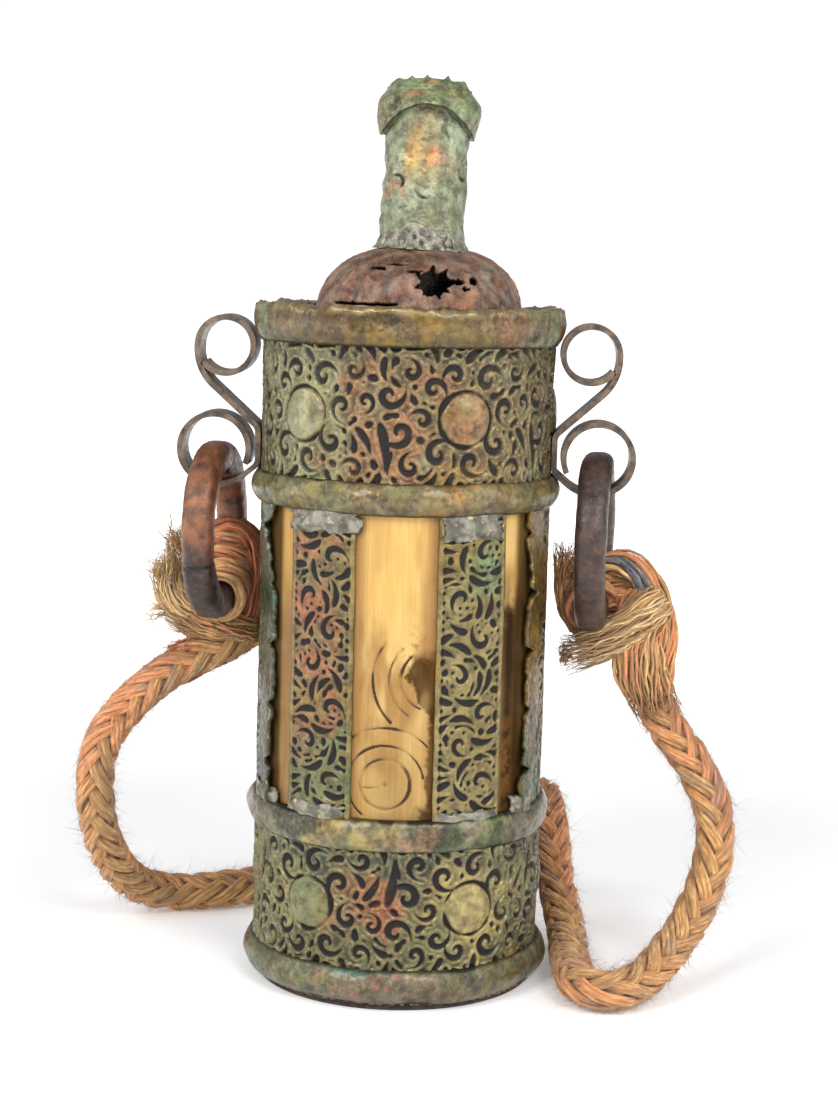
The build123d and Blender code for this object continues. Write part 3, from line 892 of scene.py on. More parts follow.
def moulding(name, low, high, bulge, colours, seed, dent):
    """A half-round brass moulding, knocked about, bent round the body."""
    angles = np.linspace(-180, 180, 560, endpoint=False)
    share = np.linspace(0.04, 0.96, 26)[None]
    a = np.broadcast_to(angles[:, None], (len(angles), share.size))
    shape = np.sin(np.pi * share) ** 0.62
    z = low + (high - low) * share + 0 * a
    flat = on_body(a, bulge, z)
    knocks = dent * noise(flat, 7, seed, 2) + 0.3 * dent * noise(flat, 1.6, seed + 2, 3)
    shift = 0.35 * noise(on_body(a, bulge, 0 * a), 12, seed + 4, 2)
    radius = HOOP_BACK + (bulge - HOOP_BACK) * shape + knocks * shape
    inner = ((HOOP_BACK - 0.6, high), (HOOP_BACK - 0.6, low))
    rings = round_section((radius, z + shift), angles, inner)
    seams = 0.55 * smooth(np.abs(share - 0.5), 0.36, 0.47)
    recess = np.clip(seams + 0.45 * smooth(knocks, -0.08, -0.3), 0, 1) + 0 * a
    wear = np.clip(hump(share, 0.55, 0.22) * smooth(knocks, -0.05, 0.2), 0, 1)
    surface = hoop(rings, 2, tint=colours(flat, a, z), recess=recess, wear=wear)
    piece(name + "_moulding", surface, MOULDING, "moulding_brass", "flask", name)


def upper_belt_colours(points, a, z):
    return patches(
        points, 4.0, 110,
        (138, 136, 92, 0.2),
        (158, 168, 128, -0.2 + 0.7 * hump(a, -55, 28)),
        (120, 108, 84, 0.1 + 0.2 * hump(z, 95.5, 1.5)),
        (182, 128, 54, -0.45 + 0.6 * hump(a, 22, 30)),
        (150, 138, 70, -0.1 + 0.4 * hump(a, 30, 35)),
    )


def lower_belt_colours(points, a, z):
    tint = patches(
        points, 4.0, 120,
        (140, 140, 112, 0.15),
        (116, 118, 108, -0.1 + 0.7 * hump(np.abs(a), 62, 22)),
        (190, 178, 108, -0.4 + 1.1 * hump(a, -14, 16)),
        (178, 150, 116, -0.3 + 0.9 * hump(a, 10, 14) * hump(z, 33, 3)),
        (104, 136, 92, -0.3 + 0.9 * hump(a, 42, 12)),
        (110, 130, 96, -0.2 + 0.7 * hump(z, 31.5, 1.6)),
    )
    return tint * (1.25, 1.22, 1.35)


def base_ring_colours(points, a, z):
    """The base ring's colours, by angle and height."""
    tint = patches(
        points, 3.2, 130,
        (112, 118, 88, 0.2),
        (98, 122, 80, -0.2 + 0.8 * hump(a, -60, 30)),
        (128, 120, 100, 0.0 + 0.5 * hump(a, -8, 26)),
        (156, 112, 90, -0.45 + 0.7 * hump(z, 3, 2.2) * hump(a, 4, 30)),
        (124, 118, 68, -0.1 + 0.7 * hump(a, 50, 24)),
    )
    pink = smooth(noise(points, 0.8, 134, 2), 0.35, 0.6) * hump(a, -8, 34)
    tint = toward(tint, (188, 128, 112), 0.8 * pink)
    return toward(tint * (1.18, 1.14, 1.3), (40, 140, 118), 0.85 * hump(a, -13, 11) * hump(z, 7.6, 0.7))


def rim_colours(points, a, z):
    tint = patches(
        points, 5.0, 140,
        (118, 88, 46, 0.25),
        (132, 112, 56, 0.1),
        (98, 92, 58, 0.05 + 0.3 * hump(z, 127, 1.6)),
        (156, 126, 34, -0.3 + 0.7 * hump(a, 2, 22)),
        (146, 168, 128, -0.6 + 1.3 * hump(np.abs(a), 62, 13)),
        (150, 84, 50, -0.5 + 0.9 * hump(a, 46, 9)),
    )
    pale = smooth(z, 131.4, 132.6) * smooth(noise(points, 2.0, 145, 3), -0.4, 0.3)
    return toward(tint, (190, 178, 138), 0.7 * pale)


moulding("upper_belt", 94.7, 101.1, 30.2, upper_belt_colours, 1, dent=0.35)
moulding("lower_belt", 30.9, 37.3, 30.0, lower_belt_colours, 4, dent=0.5)
moulding("base_ring", 1.35, 8.2, 30.4, base_ring_colours, 7, dent=0.4)


RIM_LOW, RIM_HEIGHT = 126.0, 6.6
RIM_MOUTH = 22.9
# Radius and height of the corners that close the rim's section behind its lip and side
RIM_CORNERS = ((RIM_MOUTH, 132.5), (HOOP_BACK, 132.2), (HOOP_BACK, RIM_LOW))


def rim_moulding():
    """The top hoop: half round outside, with a flat lip turned in over the dome and a torn upper edge."""
    angles = np.linspace(-180, 180, 620, endpoint=False)
    a = angles[:, None]
    t = np.linspace(0, 1, 22)[None]
    side_radius = 28.5 + 1.8 * np.sin(np.pi * (0.04 + 0.66 * t)) ** 0.7 + 0 * a
    side_z = RIM_LOW + RIM_HEIGHT * t + 0 * a
    lip = np.linspace(0, 1, 14)[None, 1:]
    lip_radius = side_radius[:, -1:] - 0.35 - (side_radius[:, -1:] - RIM_MOUTH) * lip
    lip_z = 132.95 + 0.35 * hump(lip, 0.1, 0.12) + 0 * a
    radius = np.concatenate([side_radius, lip_radius], 1)
    z = np.concatenate([side_z, lip_z], 1)
    spread = np.broadcast_to(a, radius.shape)
    flat = on_body(spread, radius, z)
    body = smooth(z, RIM_LOW, RIM_LOW + 1.5)
    knocks = (0.4 * noise(flat, 8, 150, 2) + 0.12 * noise(flat, 1.8, 151, 3)) * body
    dent = 0.9 * np.exp(-((spread + 8) / 9) ** 2 - ((z - 130.8 - 0.05 * (spread + 8)) / 1.6) ** 2)
    torn = smooth(z, 131.0, 132.6) * (0.45 * noise(flat, 1.3, 152, 3) + 0.35 * noise(flat, 4.5, 153))
    on_lip = smooth(radius, 28.6, 27.8)
    worn_z = z + torn * (1 - 0.4 * on_lip) + 0.1 * knocks
    rings = on_body(spread, radius + (knocks - dent) * (1 - on_lip), worn_z)
    corners = [on_body(a, np.full_like(a, r), np.full_like(a, h)) for r, h in RIM_CORNERS]
    rings = np.concatenate([rings, *corners], 1)
    recess = 0.6 * smooth(z, 126.9, 126.1) + 0.5 * smooth(knocks - dent, -0.15, -0.5) + 0.3 * on_lip
    wear = smooth(z, 131.6, 132.6) * (1 - on_lip) + 0.4 * hump(z, 129.5, 1.2)
    tint = toward(rim_colours(flat, spread, z), (112, 88, 60), 0.5 * on_lip)
    surface = hoop(rings, len(corners), tint=tint, recess=np.clip(recess, 0, 1), wear=np.clip(wear, 0, 1))
    piece("rim_moulding", surface, MOULDING, "moulding_brass", "flask", "rim_hoop")


rim_moulding()

# --------------------------------------------------------------------------------------------------- bone

BONE_RADIUS, BONE_BACK = 27.55, 24.95
STAVE_SPAN = 44.75
STAVES = ("front", "front_right", "right", "back_right", "back", "back_left", "left", "front_left")
STAVE_LOW, STAVE_HIGH = 1.35, 131.6
STAVE_STEP, FRONT_STAVE_STEP = 0.5, 0.24
# Ring-and-dot figures: arc from the front, height, radii of the rings
FIGURES = ((-1.3, 44.0, (4.8, 7.4, 10.8)), (7.2, 64.1, (5.9, 8.1, 11.2)))


def engraved_lines():
    """The front stave's two ring-and-dot figures, as strokes."""
    lower, upper = FIGURES
    lines = [
        circle(*lower[:2], lower[2][0], 0.3, 0.08, seed=1),
        circle(*lower[:2], lower[2][1], 0.24, 0.12, seed=2, start=10, end=235),
        circle(*lower[:2], lower[2][2], 0.24, 0.1, seed=3, start=42, end=142),
        circle(*lower[:2], 0.2, 0.3),
        drop(lower[0] - 4.6, lower[1] - 0.9, lower[0] - 1.0, lower[1] - 0.7, 0.16),
    ]
    for radius, start, end in zip(upper[2], (132, 134, 142), (248, 238, 227)):
        lines.append(circle(*upper[:2], radius, 0.26, 0.12, seed=int(radius), start=start, end=end))
    return lines


def bone_colours(points, a, z):
    """Cream bone, browner towards the brass, with burnt and greasy stains, and painted shade along the side
    plates' edges.
    """
    front = hump(a, 0, 12.5)
    on_front = np.abs(a) < 22
    tint = patches(
        points * (1, 1, 0.3), 3.0, 160,
        (194, 158, 92, 0.2),
        (212, 182, 120, 0.15),
        (158, 122, 68, 0.1),
    )
    tint = toward(tint, (222, 186, 112), 0.7 * front * smooth(z, 66, 80))
    tint = toward(tint, (150, 124, 76), 0.65 * front * smooth(z, 64, 42))
    tint = toward(tint, (140, 100, 54), 0.7 * smooth(np.abs(a), 9.5, 15.5) * (np.abs(a) < 20))
    tint = toward(tint, (90, 56, 28), 0.6 * front * smooth(z, 94.5, 97.5))
    tint = toward(tint, (128, 94, 56), 0.8 * hump(a, -50, 7) * smooth(z, 92, 66))
    tint = toward(tint, (190, 146, 80), 0.7 * hump(a, -50, 7) * smooth(z, 74, 92))
    broken = noise(points, 2.6, 165, 4) + 0.5 * noise(points, 0.7, 168, 3)
    edge = 6.6 + 7.4 * smooth(z, 62, 56) - 1.2 * hump(z, 66, 3)
    stain = smooth(a - edge + 3.0 * broken, -0.5, 1.8) * on_front * smooth(z, 70.5, 67.0 + 1.5 * broken)
    stain = stain * (0.7 + 0.3 * smooth(noise(points * (1, 1, 0.4), 4.5, 166, 3), -0.3, 0.3))
    stain = np.maximum(stain, smooth(a - 8.5 + 3.0 * broken, -1, 3) * on_front * smooth(z, 40.5, 38.5))
    tint = toward(tint, (56, 34, 18), 0.88 * stain)
    speck = smooth(noise(points, 0.7, 167, 2), 0.35, 0.6) * hump(z, 68, 5) * smooth(a, 0, 9) * on_front
    tint = toward(tint, (96, 66, 44), 0.7 * speck)
    burnt = hump(a, 51, 9) * smooth(z + 2.5 * broken, 81, 74)
    tint = toward(tint, (30, 15, 8), 0.97 * burnt * (0.8 + 0.2 * smooth(a, 44.5, 48.5)))
    tint = toward(tint, (226, 194, 134), 0.7 * hump(a, 47.5, 4.5) * smooth(z, 82, 87))
    tint = toward(tint, (122, 84, 42), 0.7 * burnt * hump(z, 47, 11) * smooth(broken, -0.3, 0.3))
    # Painted shade: dark bone along the side plates' lifted edges, and under the plates where it is hidden.
    tint = toward(tint, (50, 34, 22), 0.85 * smooth(np.abs(a), 52.0, 56.0) * smooth(np.abs(a), 126, 122))
    back = hump(np.abs(a), 180, 15)
    return toward(tint, (120, 84, 52), 0.6 * back * smooth(z + 4 * broken, 62, 50))


def stave(index, place):
    """One bone stave. The front and back ones are engraved."""
    step = FRONT_STAVE_STEP if place == "front" else STAVE_STEP
    middle = index * 360 / len(STAVES)
    share = np.linspace(-1, 1, int(along_body(STAVE_SPAN) / step))
    zs = np.linspace(STAVE_LOW, STAVE_HIGH, int(130 / step))
    a, z = np.meshgrid(middle + share * STAVE_SPAN / 2, zs, indexing="xy")
    flat = on_body(a, BONE_RADIUS, z)
    height = 0.06 * noise(flat * (1, 1, 0.15), 2.0, 170 + index, 2) - 0.05 * smooth(np.abs(share), 0.94, 1.0)
    recess = np.zeros_like(a)
    if place in ("front", "back"):
        u = np.radians(a - middle) * BONE_RADIUS
        plate = Ground((-12, 30), (12, 80))
        plate.cut(*engraved_lines())
        d = np.where((z > 31) & (z < 79), plate.at(u, z), 1.0)
        groove = smooth(d, 0.14, -0.10)
        height = height - 0.26 * groove
        recess = groove * (0.75 + 0.6 * noise(flat, 3.5, 175, 2))
    recess = np.maximum(recess, 0.8 * hump(z, 98, 1.2) + 0.6 * hump(z, 34, 1.0))
    outer = on_body(a, BONE_RADIUS + height, z)
    back = on_body(np.stack([a[:, -1], a[:, 0]], 1), BONE_BACK, np.stack([z[:, 0], z[:, 0]], 1))
    tint = bone_colours(flat, wrapped(a), z)
    # The dull value follows dark tint: the stains and the painted shade beside the side plates.
    values = {"tint": tint, "recess": recess, "stain_and_shade": smooth(tint[..., 0], 0.3, 0.06)}
    rings = np.concatenate([outer, back], 1)
    surface = lofted(rings, **{key: padded(value, 2) for key, value in values.items()})
    piece(f"bone_{place}", surface, BONE, "bone", "flask", f"bone_stave_{place}")


for index, place in enumerate(STAVES):
    stave(index, place)

# --------------------------------------------------------------------------------------------------- dome

NECK_SHIFT = 1.8
DOME_FOOT, DOME_FOOT_Z = 20.2, 132.45
DOME_OPENING, DOME_TOP = 8.7, 144.0
DOME_WALL = 0.8
DOME_FLANGE = 25.0  # radius of the flat flange under the rim's lip
DOME_FOOT_ROWS, DOME_ROWS = 10, 62
# Rust holes seen from the front: across, height, half width, half height, spikes and seed
DOME_HOLES = (
    (5.2, 137.8, 2.7, 2.0, 8, 1),
    (9.9, 138.0, 0.9, 0.35, 3, 2),
    (12.6, 138.4, 0.75, 0.6, 4, 3),
    (11.2, 136.9, 0.65, 0.35, 3, 4),
    (-5.6, 140.4, 1.5, 0.26, 2, 5),
    (-2.0, 141.1, 2.2, 0.16, 2, 6),
    (1.3, 139.9, 1.5, 0.2, 2, 7),
)


def dome_profile():
    """Radius and height from the flange to the neck's opening, and each row's share of the surface relief."""
    t = np.linspace(0, 1, DOME_ROWS)
    across, rise = DOME_FOOT - DOME_OPENING, DOME_TOP - DOME_FOOT_Z
    flange = np.linspace(DOME_FLANGE, DOME_FOOT, DOME_FOOT_ROWS)[:-1]
    bow = np.concatenate([np.zeros(DOME_FOOT_ROWS - 1), 2.6 * np.sin(np.pi * t) ** 0.9])
    radius = np.concatenate([flange, DOME_FOOT + (DOME_OPENING - DOME_FOOT) * t])
    z = np.concatenate([np.full(DOME_FOOT_ROWS - 1, DOME_FOOT_Z - 0.05), DOME_FOOT_Z + rise * t])
    slope = np.hypot(across, rise)
    raised = np.concatenate([np.zeros(DOME_FOOT_ROWS - 1), smooth(t, 0.0, 0.06)])[None]
    return radius + bow * rise / slope, z + bow * across / slope, raised


def hole_depth(across, up, x, y, wide, tall, spikes, seed):
    """Below 0 inside a jagged hole centred on (x, y) as seen from the front."""
    rng = np.random.default_rng(seed)
    turn = np.arctan2((up - y) / tall, (across - x) / wide)
    edge = 1.0 + 0.12 * np.sin(3 * turn + seed) + 0.07 * np.sin(7 * turn + 2 * seed)
    for k in range(spikes):
        spike = 2 * np.pi * (k + rng.uniform(-0.22, 0.22)) / spikes
        off = (turn - spike - seed + np.pi) % (2 * np.pi) - np.pi
        edge = edge + rng.uniform(0.25, 0.75) * np.exp(-np.abs(off) / 0.13)
    return np.hypot((across - x) / wide, (up - y) / tall) / edge - 1


def dome_values(points, a, relief, near):
    """Colour, grime and rub of the dome. near is 1 at the edge of a rust hole."""
    across, up = points[..., 0], points[..., 2]
    low_right = hump(across, 11.5, 4.5) * hump(up, 134.4, 1.5) * (points[..., 1] < 0)
    tint = patches(
        points, 3.0, 190,
        (255, 240, 226, 0.15 + 0.2 * hump(a, -45, 25)),
        (206, 218, 222, 0.15 + 0.4 * hump(a, 45, 25)),
        (206, 164, 136, 0.1 + 0.4 * hump(up, 142, 2.5)),
    )
    tint = toward(tint, (255, 240, 228), 0.3 * near)
    tint = toward(tint, (255, 190, 130), 0.8 * low_right)
    tint = tint * (1 - 0.45 * hump(up, 141.5, 2.2) * hump(a, -10, 45))[..., None]
    eaten = 0.75 * near * smooth(noise(points, 0.9, 192, 2), -0.3, 0.3)
    recess = np.clip(eaten + 0.5 * smooth(relief, -0.2, -0.45), 0, 1)
    wear = np.clip(0.7 * smooth(relief, 0.15, 0.45) + 0.5 * low_right, 0, 1)
    return {"tint": tint, "recess": recess, "wear": wear}


def holed(points, depth, values):
    """The surface of a closed grid of points, without the faces that touch a place where depth is below 0."""
    index = np.arange(depth.size).reshape(depth.shape)
    after = np.roll(index, -1, axis=0)
    quads = np.stack([index[:, :-1], after[:, :-1], after[:, 1:], index[:, 1:]], -1).reshape(-1, 4)
    quads = quads[(depth.ravel()[quads] > 0).all(1)]
    used = np.unique(quads)
    renumber = np.full(depth.size, -1)
    renumber[used] = np.arange(len(used))
    kept = {name: value.reshape(depth.size, *value.shape[2:])[used] for name, value in values.items()}
    return {"points": points.reshape(-1, 3)[used], "quads": renumber[quads], "caps": [], "values": kept}


def dome_shell():
    """Raised iron, domed over the flask's shoulder. Rust has eaten a star-shaped hole and small ones."""
    radius, z, raised = dome_profile()
    angles = np.linspace(-180, 180, 430, endpoint=False)
    a = np.broadcast_to(angles[:, None], (len(angles), len(z)))
    flat = on_body(a, radius[None], z[None] + 0 * a)
    relief = (0.5 * noise(flat, 7, 180, 2) + 0.22 * noise(flat, 1.7, 181, 3)) * raised
    step_in = 0.35 * smooth(flat[..., 2] - 139.2 + 0.6 * noise(flat, 6, 186), -0.15, 0.15) * hump(a, -25, 45)
    height = (relief - step_in * raised) / np.hypot(*flat[..., :2].T).T.clip(1)
    points = flat + flat * (height[..., None] * (1, 1, 0)) + np.stack([0 * a, 0 * a, 0.5 * relief], -1)
    points[..., 0] += NECK_SHIFT
    across, up = points[..., 0], points[..., 2]
    front = points[..., 1] < 0
    foot_gap = np.hypot((across + 7.5) / 6.5, (up - 133.6) / 0.18) - 1
    depth = np.min([hole_depth(across, up, *hole) for hole in DOME_HOLES], axis=0)
    depth = np.where(front, np.minimum(depth, foot_gap + 0.1 * noise(points, 1.2, 188)), 1.0)
    surface = holed(points, depth, dome_values(points, a, relief, hump(depth, 0.0, 0.22) * front))
    shell = piece("dome_shell", surface, DOME, "rusty_iron", "flask", "dome")
    thickness = shell.modifiers.new("wall", "SOLIDIFY")
    thickness.thickness = DOME_WALL * MM
    thickness.offset = -1.0


dome_shell()

# ------------------------------------------------------------------------------------- neck, cap and solder

NECK_LEAN = np.radians(1.7)
LID_FOOT = 124.0
NECK_OUTER, NECK_INNER = 8.1, 7.3
NECK_LENGTH = 49.3
NECK_ORIGIN = np.array([NECK_SHIFT - (DOME_TOP - LID_FOOT) * np.tan(NECK_LEAN), 0, LID_FOOT])
NECK_UP = np.array([np.sin(NECK_LEAN), 0, np.cos(NECK_LEAN)])
NECK_ACROSS = np.array([np.cos(NECK_LEAN), 0, -np.sin(NECK_LEAN)])


def on_neck(angle, radius, height):
    """Points round the neck's leaning axis. height is measured along it, from the core lid's foot."""
    a = np.radians(angle)
    side, front, up = np.broadcast_arrays(radius * np.sin(a), -radius * np.cos(a), height)
    across, forward = side[..., None] * NECK_ACROSS, front[..., None] * (0, 1, 0)
    return NECK_ORIGIN + across + forward + up[..., None] * NECK_UP


def neck_piece():
    """The neck's sheet tube, dented, with cut scrolls. What the fillet hides is left smooth and painted near
    black, as painted shade for the inside of the dome seen through its rust holes.
    """
    angles = np.linspace(-180, 180, 230, endpoint=False)
    heights = np.linspace(0, NECK_LENGTH, 200)
    a, h = np.meshgrid(angles, heights, indexing="ij")
    flat = on_neck(a, NECK_OUTER, h)
    u = np.radians(a) * NECK_OUTER
    marks = [
        swirl(-4.9, 32.4, 1.7, 200, 1, 330),
        drop(-4.6, 36.6, -2.7, 36.0, 0.4, -0.4),
        drop(3.2, 43.4, 5.2, 40.8, 0.55, 0.2),
        drop(-1.6, 31.2, 2.0, 29.6, 0.45, -0.5),
        drop(-4.6, 27.2, -2.6, 28.0, 0.3, 0.1),
        drop(-0.6, 40.6, 0.9, 40.2, 0.3, 0.1),
        swirl(9.8, 34.5, 1.8, 40, -1, 330),
        swirl(-12.0, 41.0, 1.8, 140, 1, 330),
        swirl(16.0, 29.0, 1.9, 320, 1, 330),
        swirl(-18.5, 33.0, 1.8, 60, -1, 330),
        drop(12.0, 42.0, 15.0, 39.0, 0.5, 0.4),
        drop(20.0, 38.5, 22.5, 42.0, 0.5, 0.4),
    ]
    sheet = Ground((-27, -1), (27, NECK_LENGTH + 1))
    sheet.cut(*marks)
    d = sheet.at(u, h)
    height, recess, wear = pressed(d, depth=0.22, rib=0.16, valley=0.0)
    recess = np.clip(smooth(d, 0.1, -0.25) * (0.75 + 0.5 * noise(flat, 1.5, 199)), 0, 1)
    shown = smooth(h, 17.0, 19.0)
    ripples = 0.20 * np.sin(h * 1.7 + 3.5 * noise(flat, 9, 198)) * hump(a, -88, 32) * hump(h, 32, 9)
    height = height + 0.40 * noise(flat, 6.5, 200, 2) + 0.20 * noise(flat, 2.0, 201, 3) + ripples
    height = height + 0.45 * smooth(h, 21.5, 19.5) * shown
    tint = patches(
        flat, 5.0, 202,
        (124, 138, 104, 0.3),
        (152, 172, 144, 0.1 + 0.35 * hump(a, 55, 22)),
        # partly the brass's own colour, partly a painted glow of the front light
        (190, 160, 92, -0.65 + 1.4 * hump(a, -14, 26) * hump(h, 39, 6.5)),
        (200, 132, 92, -0.6 + 1.0 * hump(a, 8, 20) * hump(h, 39.5, 4.5)),
        (108, 100, 66, -0.1 + 0.3 * hump(np.abs(a), 80, 20)),
        (178, 116, 78, -0.75 + 1.1 * hump(a, -26, 12) * hump(h, 32, 4)),
    )
    # Painted highlight at the front middle: a pale glint in the colour, and the wear value raised at the same
    # spot, so it shows as bright bare brass.
    glint = 0.55 * hump(a, 2, 16) * hump(h, 37, 4.5) * smooth(noise(flat, 1.6, 207, 3), -0.2, 0.4)
    tint = toward(tint, (232, 208, 146), glint)
    wear = np.clip(wear * 0.5 + 0.8 * hump(a, -4, 22) * hump(h, 38, 5), 0, 1)
    # Painted shade: near black below the fillet, inside the dome.
    tint = tint * (0.04 + 0.96 * smooth(h, 18.6, 19.6))[..., None]
    inner = ((NECK_INNER, NECK_LENGTH), (NECK_INNER, 0.0))
    back = [on_neck(angles[:, None], r, np.full((len(angles), 1), z)) for r, z in inner]
    rings = np.concatenate([on_neck(a, NECK_OUTER + height * shown - 0.02, h), *back], 1)
    surface = hoop(rings, len(back), tint=tint, recess=recess, wear=wear)
    piece("neck_sheet", surface, NECK, "patinated_brass", "flask", "neck_tube")


FILLET_FOOT = 19.9


def fillet_piece():
    """Wrinkled solder run round the neck's foot."""
    angles = np.linspace(-180, 180, 260, endpoint=False)
    a = angles[:, None]
    t = np.linspace(0, 1, 16)[None]
    rise = 2.3 + 2.2 * hump(a, -2, 42) + 0.8 * noise(on_neck(a, 9, 20 + 0 * a), 4, 210, 2)
    h = FILLET_FOOT + rise * t
    radius = 8.55 + 0.8 * (1 - t) ** 1.6 - 0.25 * t
    flat = on_neck(a + 0 * t, radius, h)
    wrinkle = 0.30 * np.sin(2.6 * noise(flat, 2.6, 211, 2) * np.pi) * smooth(t, 1.0, 0.6)
    outer = on_neck(a + 0 * t, radius + wrinkle, h)
    inner = [on_neck(a, np.full_like(a, NECK_OUTER), FILLET_FOOT + rise * s) for s in (1.0, 0.0)]
    recess = np.clip(smooth(wrinkle, -0.1, -0.28) + 0.35 * hump(np.abs(a), 120, 60) + 0 * t, 0, 1)
    surface = hoop(np.concatenate([outer, *inner], 1), len(inner), recess=recess)
    piece("neck_solder", surface, SOLDER, "solder", "flask", "neck_fillet")


# Angle and height of each crimped peak round the cap's crown
CAP_PEAKS = (
    (-70, 0.5), (-32, 0.7), (-3, 1.0), (34, 1.1), (66, 0.4),
    (100, 0.7), (150, 0.8), (-160, 0.8), (-110, 0.5),
)
CAP_SHOULDER = 51.2
CAP_BORE, CAP_ROOF = 8.2, 50.0


def cap_piece():
    """The closed brass cap. Its mouth is arched at front and back, and its crown is crimped into peaks."""
    angles = np.linspace(-180, 180, 300, endpoint=False)
    a = angles[:, None]
    mouth = 44.3 + 3.0 * np.cos(2 * np.radians(a - 3)) + 0.35 * noise(on_neck(a, 9, 45 + 0 * a), 3, 220, 2)
    t = np.linspace(0, 1, 40)[None]
    h = mouth + (CAP_SHOULDER - mouth) * t
    belly = 1.15 * np.sin(np.pi * np.clip((h - 41.5) / 10.5, 0, 1)) ** 0.8
    profile = 8.75 + belly - 1.5 * smooth(h, 47.2, CAP_SHOULDER)
    peak = 0.2 * noise(on_neck(a, 9, 52 + 0 * a), 2.5, 221, 2)
    for place, rise in CAP_PEAKS:
        peak = peak + rise * np.exp(-np.abs(wrapped(a - place)) / 5.5)
    s = np.linspace(0, 1, 18)[None, 1:]
    crown_radius = profile[:, -1:] * (1 - s) ** 0.9 + 0 * s
    crown_h = CAP_SHOULDER + 1.5 * np.sin(np.pi / 2 * s) ** 0.7 + (0.15 + peak) * hump(s, 0.16, 0.13)
    radius = np.concatenate([profile, crown_radius], 1)
    height = np.concatenate([h, crown_h], 1)
    spread = np.broadcast_to(a, radius.shape)
    flat = on_neck(spread, radius, height)
    relief = 0.30 * noise(flat, 4.5, 222, 2) + 0.12 * noise(flat, 1.2, 223, 3)
    lipped = 0.22 * hump(height, mouth, 0.6)
    edge = smooth(height, mouth, mouth + 0.4)
    outer = on_neck(spread, np.clip(radius + (relief + lipped) * smooth(radius, 0, 3), 0.02, None), height)
    inner_t = np.linspace(1, 0, 14)[None]
    inner_h = mouth + (CAP_ROOF - mouth) * inner_t
    out = s[:, ::4]
    roof = on_neck(a + 0 * out, CAP_BORE * out, np.where(out < 0.6, CAP_SHOULDER, CAP_ROOF + 0.6) + 0 * a)
    inside = on_neck(a + 0 * inner_t, CAP_BORE, inner_h)
    extra = inside.shape[1] + roof.shape[1]
    rings = np.concatenate([outer, roof, inside], 1)
    copper = 0.5 * hump(spread, -10, 25) * hump(height, 49, 2)
    tint = patches(
        flat, 4.0, 225,
        (132, 158, 112, 0.3),
        (108, 134, 84, 0.1),
        (178, 128, 88, -0.3 + copper + 0.5 * hump(np.abs(spread), 75, 18)),
        (160, 156, 104, -0.1),
        (104, 88, 60, -0.3 + 0.5 * hump(height, mouth + 1.0, 1.0)),
    )
    tint = 0.8 * tint
    grime = 0.4 * hump(height, mouth + 1.2, 0.5) * hump(spread, 10, 25)
    recess = np.clip(0.6 * smooth(relief, -0.12, -0.35) + 0.7 * (1 - edge) + grime, 0, 1)
    surface = hoop(rings, extra, tint=tint, recess=recess, wear=smooth(relief, 0.1, 0.35))
    piece("cap_shell", surface, NECK, "patinated_brass", "cap", "cap")


neck_piece()
fillet_piece()
cap_piece()

# --------------------------------------------------------------------------------------- CAD nodes shown


def dress(name, material):
    """Gives a shown CAD node its material."""
    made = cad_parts[name]
    made.data.materials.clear()
    made.data.materials.append(material)
    return made


for name in ("core_tube", "core_lid"):
    dress(name, CORE_WOOD)
dress("base_disc", FOOT_WOOD)
dress("stopper", CORK)
for name in ("lug_left", "lug_right"):
    lug = dress(name, STRIP_IRON)
    rounding = lug.modifiers.new("rounded edges", "BEVEL")
    rounding.width = 0.3 * MM
    rounding.segments = 3
    rounding.limit_method = "ANGLE"

# -------------------------------------------------------------------------------------------------- rings

RING_TWIST = np.radians(5.5)
RING_RADIUS, WIRE = 14.6, 3.4
RING_TOP_Z = 102.6
RING_SIDE = 37.6
RING_ALONG = np.array([np.sin(RING_TWIST), np.cos(RING_TWIST), 0])
RING_ACROSS = np.array([np.cos(RING_TWIST), -np.sin(RING_TWIST), 0])
UP = np.array([0, 0, 1.0])


def ring_centre(sign):
    """The middle of the left ring (sign -1) or the right one (1)."""
    return np.array([sign * RING_SIDE, 0, RING_TOP_Z - RING_RADIUS])


def on_ring(sign, angle, out, side):
    """Points near a ring's wire: angle is from its far side towards its top, out and side are offsets."""
    a = np.radians(angle)[..., None]
    radial = RING_ALONG * np.cos(a) + UP * np.sin(a)
    return ring_centre(sign) + radial * (RING_RADIUS + out)[..., None] + RING_ACROSS * side[..., None]


def ring_piece(name, sign, notch, colours, body):
    """A forged ring of squarish wire, worn round, with a lap weld."""
    angles = np.linspace(0, 360, 300, endpoint=False)
    turn = np.linspace(0, 360, 40, endpoint=False)
    a, t = np.meshgrid(angles, turn, indexing="ij")
    c, s = np.cos(np.radians(t)), np.sin(np.radians(t))
    square = 1 / (np.abs(c) ** 2.9 + np.abs(s) ** 2.9) ** (1 / 2.9)
    flat = on_ring(sign, a, WIRE * c, WIRE * s)
    forged = 0.16 * noise(flat, 7, 240 + sign, 2)
    lap = hump(wrapped(a - notch), 0, 1.6)
    size = 0.90 * WIRE * square + forged + 0.07 * noise(flat, 1.5, 242 + sign, 3) - 0.5 * lap
    points = on_ring(sign, a, size * c, size * s)
    recess = np.clip(0.8 * lap + 0.6 * smooth(noise(flat, 2.2, 244, 3), 0.35, 0.7), 0, 1)
    wear = smooth(square, 1.1, 1.25) * smooth(noise(flat, 3, 246, 2), -0.3, 0.4)
    surface = lofted(points, closed=True, tint=colours(flat), recess=recess, wear=wear)
    piece(name, surface, RING_IRON, "ring_iron", body, f"ring_{body.split('_')[0]}")


